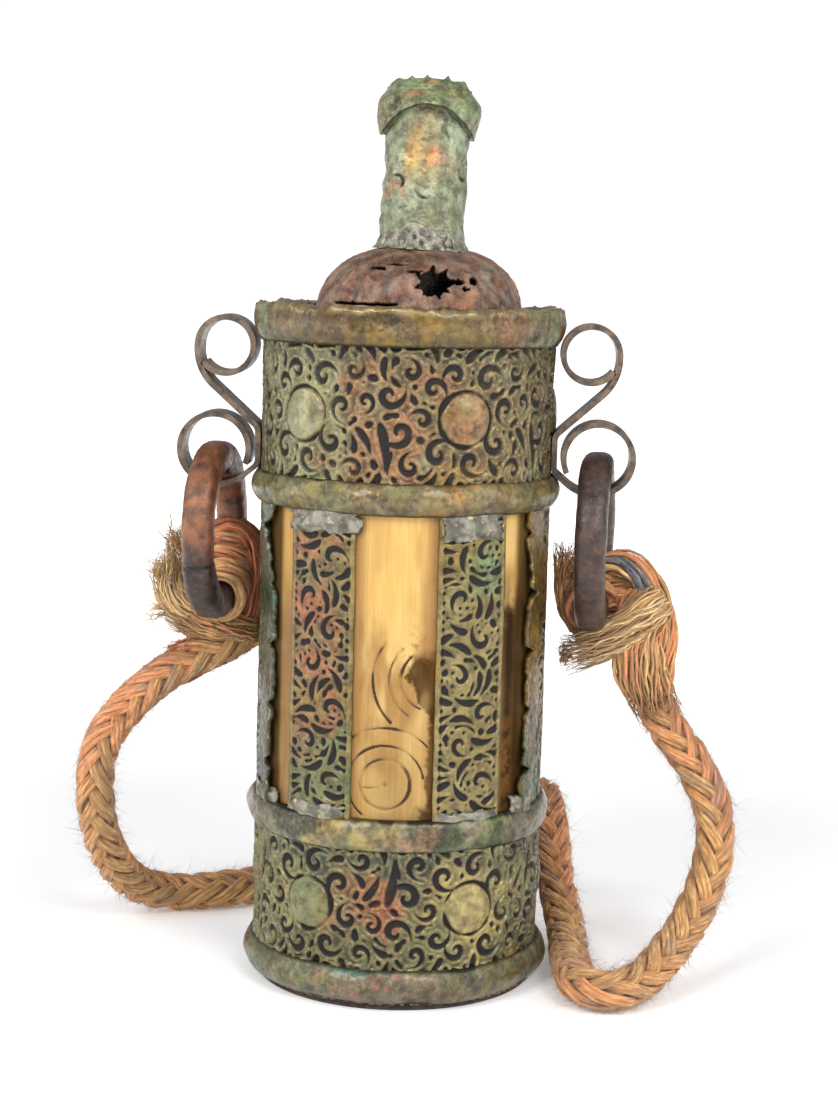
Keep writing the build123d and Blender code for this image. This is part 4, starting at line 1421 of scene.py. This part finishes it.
def left_ring_colours(points):
    high = smooth(points[..., 2] + 3 * noise(points, 6, 250, 2), 79, 88)
    tint = patches(points, 3.5, 251, (255, 236, 210, 0.2), (236, 214, 196, 0.1), (255, 222, 160, -0.1))
    return toward(tint, (190, 190, 200), 0.8 * (1 - high)) * (0.8 + high[..., None] * (1.5, 0.95, 0.55))


def right_ring_colours(points):
    return 0.85 * patches(points, 4.5, 254, (232, 222, 218, 0.2), (206, 204, 206, 0.1), (245, 214, 190, -0.1))


ring_piece("ring_left_forged", -1, 200, left_ring_colours, "left_ring")
ring_piece("ring_right_forged", 1, 322, right_ring_colours, "right_ring")

# --------------------------------------------------------------------------------------------------- rope


def resampled(points, step):
    """A smooth curve through the points (Catmull-Rom), as points an even step apart."""
    p = np.array(points, float)
    p = np.concatenate([2 * p[:1] - p[1:2], p, 2 * p[-1:] - p[-2:-1]])
    t = np.linspace(0, 1, 24, endpoint=False)[:, None]
    runs = []
    for a, b, c, d in zip(p, p[1:], p[2:], p[3:]):
        square, cube = 2 * a - 5 * b + 4 * c - d, 3 * b - a - 3 * c + d
        runs.append(0.5 * (2 * b + (c - a) * t + square * t**2 + cube * t**3))
    curve = np.concatenate([*runs, p[-2:-1]])
    along = np.concatenate([[0], np.cumsum(np.linalg.norm(np.diff(curve, axis=0), axis=1))])
    even = np.arange(0, along[-1], step)
    return np.stack([np.interp(even, along, curve[:, k]) for k in range(3)], -1)


def frames_along(path, start=(0, 0, 1)):
    """Two directions square to a path at each point, which don't spin about it."""
    tangent = np.gradient(path, axis=0)
    tangent /= np.linalg.norm(tangent, axis=1, keepdims=True)
    side = np.array(start, float)
    sides = []
    for t in tangent:
        side = side - t * (side @ t)
        side = side / np.linalg.norm(side)
        sides.append(side)
    sides = np.array(sides)
    return sides, np.cross(tangent, sides)


def yarn(path, radius, sides, tint, strand, recess, start=0.0):
    """One yarn: a closed tube along a path with a vertex value for the fibres to follow."""
    first, second = frames_along(path, (0.3, 0.5, 0.8))
    turn = np.linspace(0, 2 * np.pi, sides, endpoint=False)
    radius = np.broadcast_to(radius, len(path))[:, None, None]
    ring = first[:, None] * np.cos(turn)[None, :, None] + second[:, None] * np.sin(turn)[None, :, None]
    along = start + np.arange(len(path)) * np.linalg.norm(path[1] - path[0])
    values = {
        "tint": np.broadcast_to(tint[:, None] if np.ndim(tint) == 2 else tint, (len(path), sides, 3)),
        "recess": np.broadcast_to(np.broadcast_to(recess, len(path))[:, None], (len(path), sides)),
        "along": np.broadcast_to(along[:, None], (len(path), sides)),
        "around": np.broadcast_to((turn / (2 * np.pi))[None], (len(path), sides)),
        "strand": np.full((len(path), sides), float(strand)),
    }
    return lofted(path[:, None] + ring * radius, **values)


OUTER_COLOURS = ((218, 148, 102), (210, 150, 98), (216, 152, 106), (204, 142, 88))
INNER_COLOURS = ((208, 162, 104), (198, 150, 92), (214, 168, 110), (188, 146, 92))
GREY_FIBRE = (128, 126, 128)
STRANDS = 12
PLAIT_PITCH = 33.0
PLAIT_RADIUS = 3.0
PLAIT_RISE = 0.5
YARN = 0.62
ROPE_STEP = 0.75
FUZZ = 24  # loose fibres per mm of rope


def wool(rng, seeds, outward, tint, length, size=0.05, curl=0.7):
    """Loose fibres: thin tapered threads from the points seeds, leaning outward."""
    fibres = []
    for place, out, colour in zip(seeds, outward, tint):
        long = rng.uniform(*length)
        lean = out + rng.normal(0, 0.6, 3)
        lean /= np.linalg.norm(lean)
        bend = rng.normal(0, curl, 3)
        t = np.linspace(0, 1, 4)[:, None]
        path = place + lean * long * t + bend * long * t**2 * 0.7
        path[:, 2] = np.maximum(path[:, 2], 0.15)
        fibres.append(yarn(path, size * (1.1 - t[:, 0]), 3, colour, 0, 0.0))
    return fibres


def along_noise(s, row, size, seed, octaves=1):
    """Noise along a strand. Each row has a pattern of its own."""
    return noise(np.stack([s, 0 * s + row, 0 * s], -1), size, seed, octaves)


def plait(path, first, second, start, rng):
    """A square plait. Half of its strands turn each way, so each face shows stitches that meet in Vs."""
    s = start + np.arange(len(path)) * ROPE_STEP
    spin = 2 * np.pi * s / PLAIT_PITCH
    zone = along_noise(s, 0, 26, 264, 2)
    # A dark core under the strands: its dark colour and high recess are painted shade in the gaps between them.
    tubes = [yarn(path, PLAIT_RADIUS - 0.1, 10, srgb(124, 86, 54), 40, 0.8, start)]
    for k in range(STRANDS):
        way = 1 if k % 2 else -1
        angle = way * spin + (k // 2 + 0.5 * (way > 0)) * 4 * np.pi / STRANDS
        over = way * np.tanh(2.2 * np.sin(2 * angle))
        shade = OUTER_COLOURS if way > 0 else INNER_COLOURS
        for j, offset in enumerate((-1, 0, 1)):
            row = 3 * k + j
            wander = along_noise(s, 7.7 * row, 6, 261)
            radius = PLAIT_RADIUS + PLAIT_RISE * over - 0.22 * offset**2 + 0.14 * wander
            turn = angle + offset * 0.8 * way / PLAIT_RADIUS + 0.06 * wander
            spot = path + first * (radius * np.cos(turn))[:, None] + second * (radius * np.sin(turn))[:, None]
            blotch = along_noise(s, 9.1 * k, 18, 260, 2)
            fine = along_noise(s, 3.3 * row, 5, 263, 2)
            tint = srgb(*shade[(k // 2 + j) % 4]) * (1 + 0.16 * blotch + 0.16 * fine)[:, None]
            tint = toward(tint, OUTER_COLOURS[0], 0.6 * smooth(zone + 0.5 * blotch, 0.0, 0.5))
            tint = toward(tint, INNER_COLOURS[0], 0.6 * smooth(zone + 0.5 * blotch, 0.0, -0.5))
            grey = smooth(along_noise(s, 4.4 * row, 8, 262, 2), 0.5, 0.8)
            tint = toward(tint, GREY_FIBRE, 0.4 * grey)
            # Painted shade: strands are darker where they pass under others and at their edges.
            recess = np.clip(0.38 - 0.5 * over + 0.16 * offset**2, 0, 1)
            tubes.append(yarn(spot, YARN, 6, tint, row, recess, start))
    pick = rng.integers(0, len(path), int(len(path) * ROPE_STEP * FUZZ))
    turn = rng.uniform(0, 2 * np.pi, len(pick))
    out = first[pick] * np.cos(turn)[:, None] + second[pick] * np.sin(turn)[:, None]
    shades = np.array([srgb(*INNER_COLOURS[k]) for k in rng.integers(0, 4, len(pick))])
    shades = shades * rng.uniform(0.8, 1.3, (len(pick), 1))
    tangent = np.gradient(path, axis=0)[pick] / ROPE_STEP * rng.choice([-1.8, 1.8], len(pick))[:, None]
    tubes += wool(rng, path[pick] + out * 3.8, out * 0.5 + tangent, shades, (1.0, 3.4), 0.038)
    return joined(tubes)


FLOOR_ROPE = 4.3
ROPE_PATH = (
    (-46.0, 8.4, 58.6),
    (-49.6, 7.7, 56.2),
    (-56.3, 7, 50),
    (-61.0, 6.4, 43),
    (-62.6, 6.6, 36),
    (-62.8, 8.2, 28.4),
    (-62.0, 12.4, 20.5),
    (-60.0, 18.5, 13),
    (-56.4, 25.6, 7),
    (-50.2, 30.4, FLOOR_ROPE),
    (-42.0, 32.6, FLOOR_ROPE),
    (-32.8, 38, FLOOR_ROPE),
    (-20.0, 47, FLOOR_ROPE),
    (-5.0, 55, 5.4),
    (10.0, 57.5, 11),
    (22.5, 52.5, 19),
    (29.6, 42.5, 25.6),
    (31.6, 31.5, 21.7),
    (32.8, 21, 13.2),
    (35.0, 9, 6.2),
    (35.4, -2, FLOOR_ROPE),
    (35.9, -12, FLOOR_ROPE),
    (37.6, -20.6, FLOOR_ROPE),
    (42.6, -24.0, FLOOR_ROPE),
    (49.2, -19.2, 5.4),
    (55.5, -11.6, 10),
    (60.3, -5.4, 16),
    (63.2, -1.2, 23),
    (63.9, 1, 29.5),
    (62.8, 2.8, 35.8),
    (59.4, 3.9, 42.4),
    (55.7, 4.7, 47.6),
    (51.9, 5.4, 53),
    (50.5, 5.6, 57.5),
)
LEFT_HITCH_LEAD = ((-31.4, 12.8, 66.5), (-36.5, 10.5, 63.2), (-41.5, 9.3, 60.8))
RIGHT_HITCH_LEAD = ((50.6, 5.8, 61.5), (50.9, 6.0, 65.0))
# The rope is three pieces that meet on the floor: a free length at each side and the length behind the flask.
LEFT_REST, RIGHT_REST = (-32.8, 38, FLOOR_ROPE), (35.4, -2, FLOOR_ROPE)


def facing(first, second, at):
    """How far round the path the camera's side is from the first direction, at one point, in radians."""
    return np.arctan2(-second[at, 1], -first[at, 1])


def rope():
    """The plaited strap as three lengths. The outer two run between the flask and the rings."""
    rng = np.random.default_rng(SEED + 1)
    path = resampled(LEFT_HITCH_LEAD + ROPE_PATH + RIGHT_HITCH_LEAD, ROPE_STEP)
    first, second = frames_along(path, (0, -1, 0))
    cuts = [int(np.argmin(np.linalg.norm(path - rest, axis=1))) for rest in (LEFT_REST, RIGHT_REST)]
    ends = [cuts[0] // 2, (cuts[1] + len(path)) // 2]
    turns = [facing(first, second, end) for end in ends]
    corners = [ends[0], cuts[0], cuts[1], ends[1]]
    twist = np.interp(np.arange(len(path)), corners, np.repeat(turns, 2))[:, None]
    c, s = np.cos(twist), np.sin(twist)
    first, second = first * c + second * s, second * c - first * s
    spans = {
        "rope_left": (0, cuts[0] + 1),
        "rope_back": (cuts[0], cuts[1] + 1),
        "rope_right": (cuts[1], len(path)),
    }
    for name, (low, high) in spans.items():
        surface = plait(path[low:high], first[low:high], second[low:high], low * ROPE_STEP, rng)
        body = "flask" if name == "rope_back" else None
        made = piece(name, surface, JUTE, "jute", body, *(["rope_strap"] if body else []))
        if name == "rope_left":
            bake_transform(made)
        if name == "rope_right":
            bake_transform(made)


HANK_STEP, HANK_SIDES = 1.3, 5
GOLDEN_TURN = 2.4  # radians, which spreads any number of yarns evenly over a bundle
HITCH_FUZZ = 2600


def hank(points, count, spread, radius, colours, rng, flat=0.7, fray=0.0):
    """A loose bundle of yarns along a path. fray is how much they part towards the last point."""
    path = resampled(points, HANK_STEP)
    first, second = frames_along(path, (0, 0.2, 1))
    t = np.linspace(0, 1, len(path))
    tubes = []
    for k in range(count):
        turn = GOLDEN_TURN * k + rng.normal(0, 0.25)
        reach = spread * np.sqrt((k + 0.5) / count) * (1 + 0.6 * fray * smooth(t, 0.45, 1.0))
        wave = 0.45 * np.sin(t * rng.uniform(4, 9) + rng.uniform(0, 6))
        wave = wave + 0.2 * np.sin(t * rng.uniform(14, 34) + k)
        spot = path + first * (reach * np.cos(turn + 1.6 * t) + wave)[:, None]
        spot = spot + second * (flat * reach * np.sin(turn + 1.6 * t) + 0.6 * wave)[:, None]
        spot = spot + rng.normal(0, 1, 3) * (1.4 * fray * smooth(t, 0.5, 1.0) ** 2)[:, None]
        colour = srgb(*colours[k % len(colours)]) * rng.uniform(0.85, 1.25)
        length = len(path) - (int(rng.integers(0, 1 + len(path) // 4)) if fray else 0)
        taper = 0.85 * smooth(t * len(path) / length, 0.55, 1.0) * (fray > 0)
        thin = radius * rng.uniform(0.7, 1.2) * (1 - taper)
        # Painted shade: yarns deep inside the bundle are darker, less so towards frayed ends.
        recess = 0.55 * smooth(reach / spread, 0.75, 0.3) * (1 - (fray > 0) * smooth(t, 0.45, 0.85))
        tubes.append(yarn(spot[:length], thin[:length], HANK_SIDES, colour, k, recess[:length]))
    return tubes


def tuft(place, direction, count, length, colours, rng, spread=0.45, root=1.8):
    """A frayed end: thin wavy yarns and fibres fanned out from one place."""
    direction = np.array(direction, float) / np.linalg.norm(direction)
    tubes = []
    for _ in range(count):
        lean = direction + rng.normal(0, spread, 3)
        lean /= np.linalg.norm(lean)
        long = length * rng.uniform(0.45, 1.2)
        t = np.linspace(0, 1, 14)[:, None]
        curl = rng.normal(0, 0.5, 3)
        path = np.array(place) + rng.normal(0, root * 0.5, 3) + lean * long * t + curl * long * t**2 * 0.6
        path = path + t * rng.normal(0, 0.5, 3) * np.sin(t * rng.uniform(6, 14) + rng.uniform(0, 6))
        colour = srgb(*colours[rng.integers(len(colours))]) * rng.uniform(1.0, 1.4)
        thin = rng.choice([0.06, 0.09, 0.14, 0.22]) * (1 - 0.8 * t[:, 0])
        tubes.append(yarn(path, thin, HANK_SIDES, colour, rng.integers(9), 0.05))
    return tubes


def fuzz_over(tubes, rng, count, length=(1.2, 4.0), brighten=1.1):
    """Fibres standing off the yarns of a bundle."""
    sizes = np.array([len(tube["points"]) for tube in tubes], float)
    fibres = []
    for index in rng.choice(len(tubes), count, p=sizes / sizes.sum()):
        points = tubes[index]["points"]
        spot = rng.integers(len(points))
        out = rng.normal(0, 1, 3)
        colour = tubes[index]["values"]["tint"][spot] * brighten
        fibres += wool(rng, [points[spot]], [out / np.linalg.norm(out)], [colour], length)
    return fibres


ORANGE, TAN, STRAW, GREY = (214, 140, 92), (204, 156, 100), (222, 182, 122), GREY_FIBRE
RUST = (178, 96, 54)
SLATE = (104, 110, 128)
PALE = (242, 212, 156)


def wire_wrap(sign, angle, count, spread, rng, colours, reach=4.9, radius=0.55):
    """Turns of loose yarn round a ring's wire, spread along it about one angle."""
    tubes = []
    for k in range(count):
        shift = (k - (count - 1) / 2) * spread
        t = np.radians(np.linspace(0, 360, 44))
        size = reach + 0.4 * rng.normal() + 0.25 * np.sin(3 * t + k)
        centre = np.full(len(t), angle + np.degrees(shift / RING_RADIUS)) + 4 * np.sin(t + k)
        path = on_ring(sign, centre, size * np.cos(t), size * np.sin(t))
        tubes.append(yarn(path, radius, 6, srgb(*colours[k % len(colours)]) * rng.uniform(0.8, 1.15), k, 0.3))
    return tubes


SWING_IN = np.radians(4.0)
PRESSED_REACH, PRESSED_SOFTNESS = SHEET_RADIUS + 0.3, 0.6


def clear_of_body(points, sign):
    """Yarn pressed flat enough on the body's side to miss the body when the ring swings fully in."""
    inward = (RING_TOP_Z - points[:, 2:]) * np.sin(SWING_IN)
    swung = points - sign * RING_ACROSS * inward
    reach = np.hypot(swung[:, 0], swung[:, 1])
    kept = PRESSED_REACH + PRESSED_SOFTNESS * np.logaddexp(0, (reach - PRESSED_REACH) / PRESSED_SOFTNESS)
    return points + swung * ((kept / reach - 1)[:, None] * (1, 1, 0))


def right_hitch():
    """The rope's right end turns round the ring's far low side, crosses in front and ends in a frayed tail."""
    rng = np.random.default_rng(SEED + 2)
    loop = ((50.4, 5.6, 57.0), (50.9, 6.0, 63.0), (51.0, 6.0, 70.0),
            (48.8, 6.4, 77.5), (44.2, 7.5, 81.6), (39.6, 9.6, 80.2))
    tubes = hank(loop, 120, 3.9, 0.38, (ORANGE, TAN, ORANGE, TAN), rng, flat=0.8)
    swelling = ((49.4, 3.8, 76.0), (46.8, 2.0, 70.5), (47.2, 1.8, 64.0), (49.6, 3.2, 57.6), (53.4, 4.8, 50.5))
    tubes += hank(swelling, 170, 4.7, 0.36, (TAN, STRAW, TAN, TAN, ORANGE), rng, flat=0.8, fray=0.06)
    filling = ((35.6, 8.6, 70.0), (39.4, 7.0, 74.2), (44.0, 5.8, 77.0), (48.4, 5.0, 76.0))
    tubes += hank(filling, 60, 3.2, 0.4, (ORANGE, TAN, ORANGE), rng)
    crest = ((50.0, 3.4, 73.6), (47.0, 3.4, 80.2), (42.4, 5.4, 83.0), (37.6, 9.2, 80.0))
    tubes += hank(crest, 26, 2.1, 0.42, (GREY, SLATE, STRAW, SLATE), rng)
    tubes += wire_wrap(1, -52, 16, 0.75, rng, (ORANGE, TAN, RUST))
    under = ((34.2, 12.6, 76.0), (35.4, 9.0, 70.2), (41.0, 3.6, 68.2), (47.2, 1.6, 70.8), (50.0, 3.6, 72.4))
    tubes += hank(under, 42, 2.8, 0.5, (STRAW, TAN, STRAW, ORANGE), rng)
    tail = ((50.8, 3.0, 76.0), (47.6, 0.0, 73.4), (42.6, -1.0, 69.6), (37.6, 0.2, 66.4), (31.9, 1.7, 64.6))
    tubes += hank(tail, 150, 3.7, 0.26, (PALE, STRAW, PALE, TAN, STRAW), rng, fray=0.25)
    far_tail = ((47.6, 6.0, 70.0), (43.0, 6.5, 66.8), (38.2, 7.6, 65.4), (32.2, 8.4, 63.9))
    tubes += hank(far_tail, 30, 2.1, 0.4, (ORANGE, TAN), rng, fray=0.5)
    risers = ((35.6, 11.0, 69.0), (32.8, 10.4, 74.0), (32.0, 10.0, 81.0), (32.6, 9.6, 88.0))
    tubes += hank(risers, 44, 2.0, 0.32, (ORANGE, TAN, STRAW), rng, fray=0.5)
    tubes += tuft((34.2, 9.8, 79.6), (-0.15, 0.1, 0.9), 70, 6.5, (TAN, STRAW, ORANGE), rng)
    tubes += tuft((33.0, 2.0, 65.0), (-0.9, -0.1, -0.35), 50, 2.8, (STRAW, TAN), rng)
    made = joined(tubes + fuzz_over(tubes, rng, HITCH_FUZZ))
    made["points"] = clear_of_body(made["points"], 1)
    piece("hitch_right_yarn", made, JUTE, "jute", "right_ring", "hitch_right")


def left_hitch():
    """The rope's left end is looped over the far low side of the ring and sticks out as a frayed tail."""
    rng = np.random.default_rng(SEED + 3)
    loop = ((-46.5, 8.4, 58.8), (-41.0, 9.3, 61.4), (-35.0, 11.4, 64.6), (-31.6, 12.4, 70.0),
            (-31.4, 12.4, 77.0), (-32.6, 12.0, 83.0), (-36.2, 11.6, 85.6), (-40.2, 11.6, 82.0))
    tubes = hank(loop, 100, 3.5, 0.4, (ORANGE, RUST, RUST, RUST), rng, flat=0.85)
    tubes += wire_wrap(-1, -42, 18, 0.75, rng, (RUST, ORANGE, TAN))
    tubes += wire_wrap(-1, -66, 10, 0.75, rng, (TAN, STRAW))
    upright = ((-33.0, 13.0, 71.0), (-38.0, 12.8, 71.5), (-43.0, 12.4, 74.2),
               (-46.0, 12.0, 79.4), (-46.8, 12.0, 86.0))
    tubes += hank(upright, 110, 2.6, 0.25, (STRAW, TAN, PALE), rng, fray=0.25)
    curled = ((-35.0, 10.5, 68.8), (-40.5, 9.4, 69.4), (-45.6, 8.8, 71.4),
              (-48.9, 8.8, 75.4), (-49.4, 9.0, 80.8))
    tubes += hank(curled, 150, 2.9, 0.25, (PALE, STRAW, PALE, TAN), rng, fray=0.25)
    under = ((-30.2, 11.0, 66.6), (-35.6, 8.8, 66.8), (-41.0, 8.4, 67.4),
             (-45.8, 8.6, 69.0), (-49.4, 9.0, 71.4))
    tubes += hank(under, 150, 2.9, 0.27, (STRAW, TAN, ORANGE, STRAW), rng, fray=0.3)
    tubes += tuft((-46.8, 11.6, 82.0), (-0.1, 0.0, 1.0), 60, 5.0, (STRAW, TAN), rng, 0.3)
    tubes += tuft((-48.6, 9.0, 77.0), (-0.4, 0.0, 0.9), 60, 5.0, (PALE, STRAW), rng, 0.34)
    tubes += tuft((-47.0, 9.0, 70.4), (-1.0, 0.0, 0.1), 60, 5.0, (STRAW, PALE), rng, 0.34)
    tubes += tuft((-43.0, 8.6, 63.5), (-0.9, 0.0, -0.7), 30, 6.0, (ORANGE,), rng, 0.25)
    made = joined(tubes + fuzz_over(tubes, rng, HITCH_FUZZ, brighten=1.2))
    made["points"] = clear_of_body(made["points"], -1)
    piece("hitch_left_yarn", made, JUTE, "jute", "left_ring", "hitch_left")


rope()
right_hitch()
left_hitch()

# -------------------------------------------------------------------------------------------------- stage


def stage_floor():
    """A pale floor that fades into the background and keeps only soft shadows."""
    bpy.ops.mesh.primitive_plane_add(size=6.0, location=(0, 0, 0))
    floor = bpy.context.object
    floor.name = "floor"
    look = Look("floor_paper")
    paper = look.mix(look.spots(60, 0.3, 0.7), (0.86, 0.86, 0.87), (0.89, 0.89, 0.90))
    look.set(Base_Color=paper, Roughness=0.9)
    reach = node(look.tree, "VectorMath", {0: look.mm}, operation="LENGTH").outputs["Value"]
    look.set(Emission_Color=(1.0, 1.0, 1.0), Emission_Strength=look.ramp(reach, 140, 520, 0.21, 1.0))
    look.shader.inputs["Specular IOR Level"].default_value = 0.1
    floor.data.materials.append(look.material)


def area_light(name, place, target, size, power):
    """A white rectangular light at place, turned to target."""
    data = bpy.data.lights.new(name, "AREA")
    data.shape = "RECTANGLE"
    data.size, data.size_y = size
    data.energy = power
    made = bpy.data.objects.new(name, data)
    bpy.context.scene.collection.objects.link(made)
    made.location = place
    made.rotation_euler = (Vector(target) - Vector(place)).to_track_quat("-Z", "Y").to_euler()


def white_room(light, shown):
    """Even white light all round, and a near-white background behind the object."""
    world = bpy.data.worlds.new("white_room")
    bpy.context.scene.world = world
    world.use_nodes = True
    tree = world.node_tree
    ray = tree.nodes.new("ShaderNodeLightPath")
    strength = tree.nodes.new("ShaderNodeMapRange")
    strength.inputs["To Min"].default_value = light
    strength.inputs["To Max"].default_value = shown
    tree.links.new(ray.outputs["Is Camera Ray"], strength.inputs["Value"])
    tree.links.new(strength.outputs["Result"], tree.nodes["Background"].inputs["Strength"])
    tree.nodes["Background"].inputs["Color"].default_value = (1, 1, 1, 1)


CAMERA_AZIMUTH = np.radians(2.7)
CAMERA_PLACE = (0.0, -425.02, 141.49)  # before the turn by the azimuth
CAMERA_PITCH, CAMERA_ROLL, CAMERA_YAW = np.radians((7.5643, 1.5068, -0.3983))
LENS, SENSOR = 70.8, 36.0


def set_camera():
    """The photo's viewpoint, from the camera's place, its turns and its lens."""
    right = np.array([np.cos(CAMERA_YAW), np.sin(CAMERA_YAW), 0])
    ahead = np.array([-np.sin(CAMERA_YAW), np.cos(CAMERA_YAW), 0])
    forward = np.cos(CAMERA_PITCH) * ahead - np.sin(CAMERA_PITCH) * UP
    over = np.sin(CAMERA_PITCH) * ahead + np.cos(CAMERA_PITCH) * UP
    x = np.cos(CAMERA_ROLL) * right + np.sin(CAMERA_ROLL) * over
    y = -np.sin(CAMERA_ROLL) * right + np.cos(CAMERA_ROLL) * over
    place = Matrix.Identity(4)
    for column, axis in enumerate((x, y, -forward, np.array(CAMERA_PLACE) * MM)):
        for row in range(3):
            place[row][column] = axis[row]
    data = bpy.data.cameras.new("camera")
    data.lens, data.sensor_width = LENS, SENSOR
    camera = bpy.data.objects.new("camera", data)
    bpy.context.scene.collection.objects.link(camera)
    camera.matrix_world = Matrix.Rotation(CAMERA_AZIMUTH, 4, "Z") @ place
    bpy.context.scene.camera = camera


stage_floor()
white_room(light=0.44, shown=1.1)
area_light("front_left_softbox", (-0.5, -0.8, 0.75), (0, 0, 0.08), (0.45, 0.45), 6.6)
area_light("front_right_softbox", (0.45, -0.8, 0.8), (0, 0, 0.08), (0.45, 0.45), 6.2)
area_light("right_strip", (0.75, -0.35, 0.45), (0, 0, 0.09), (0.2, 0.8), 2.2)
area_light("left_strip", (-0.75, -0.1, 0.35), (0, 0, 0.09), (0.2, 0.8), 1.8)
set_camera()
bpy.context.scene.view_settings.view_transform = "Standard"
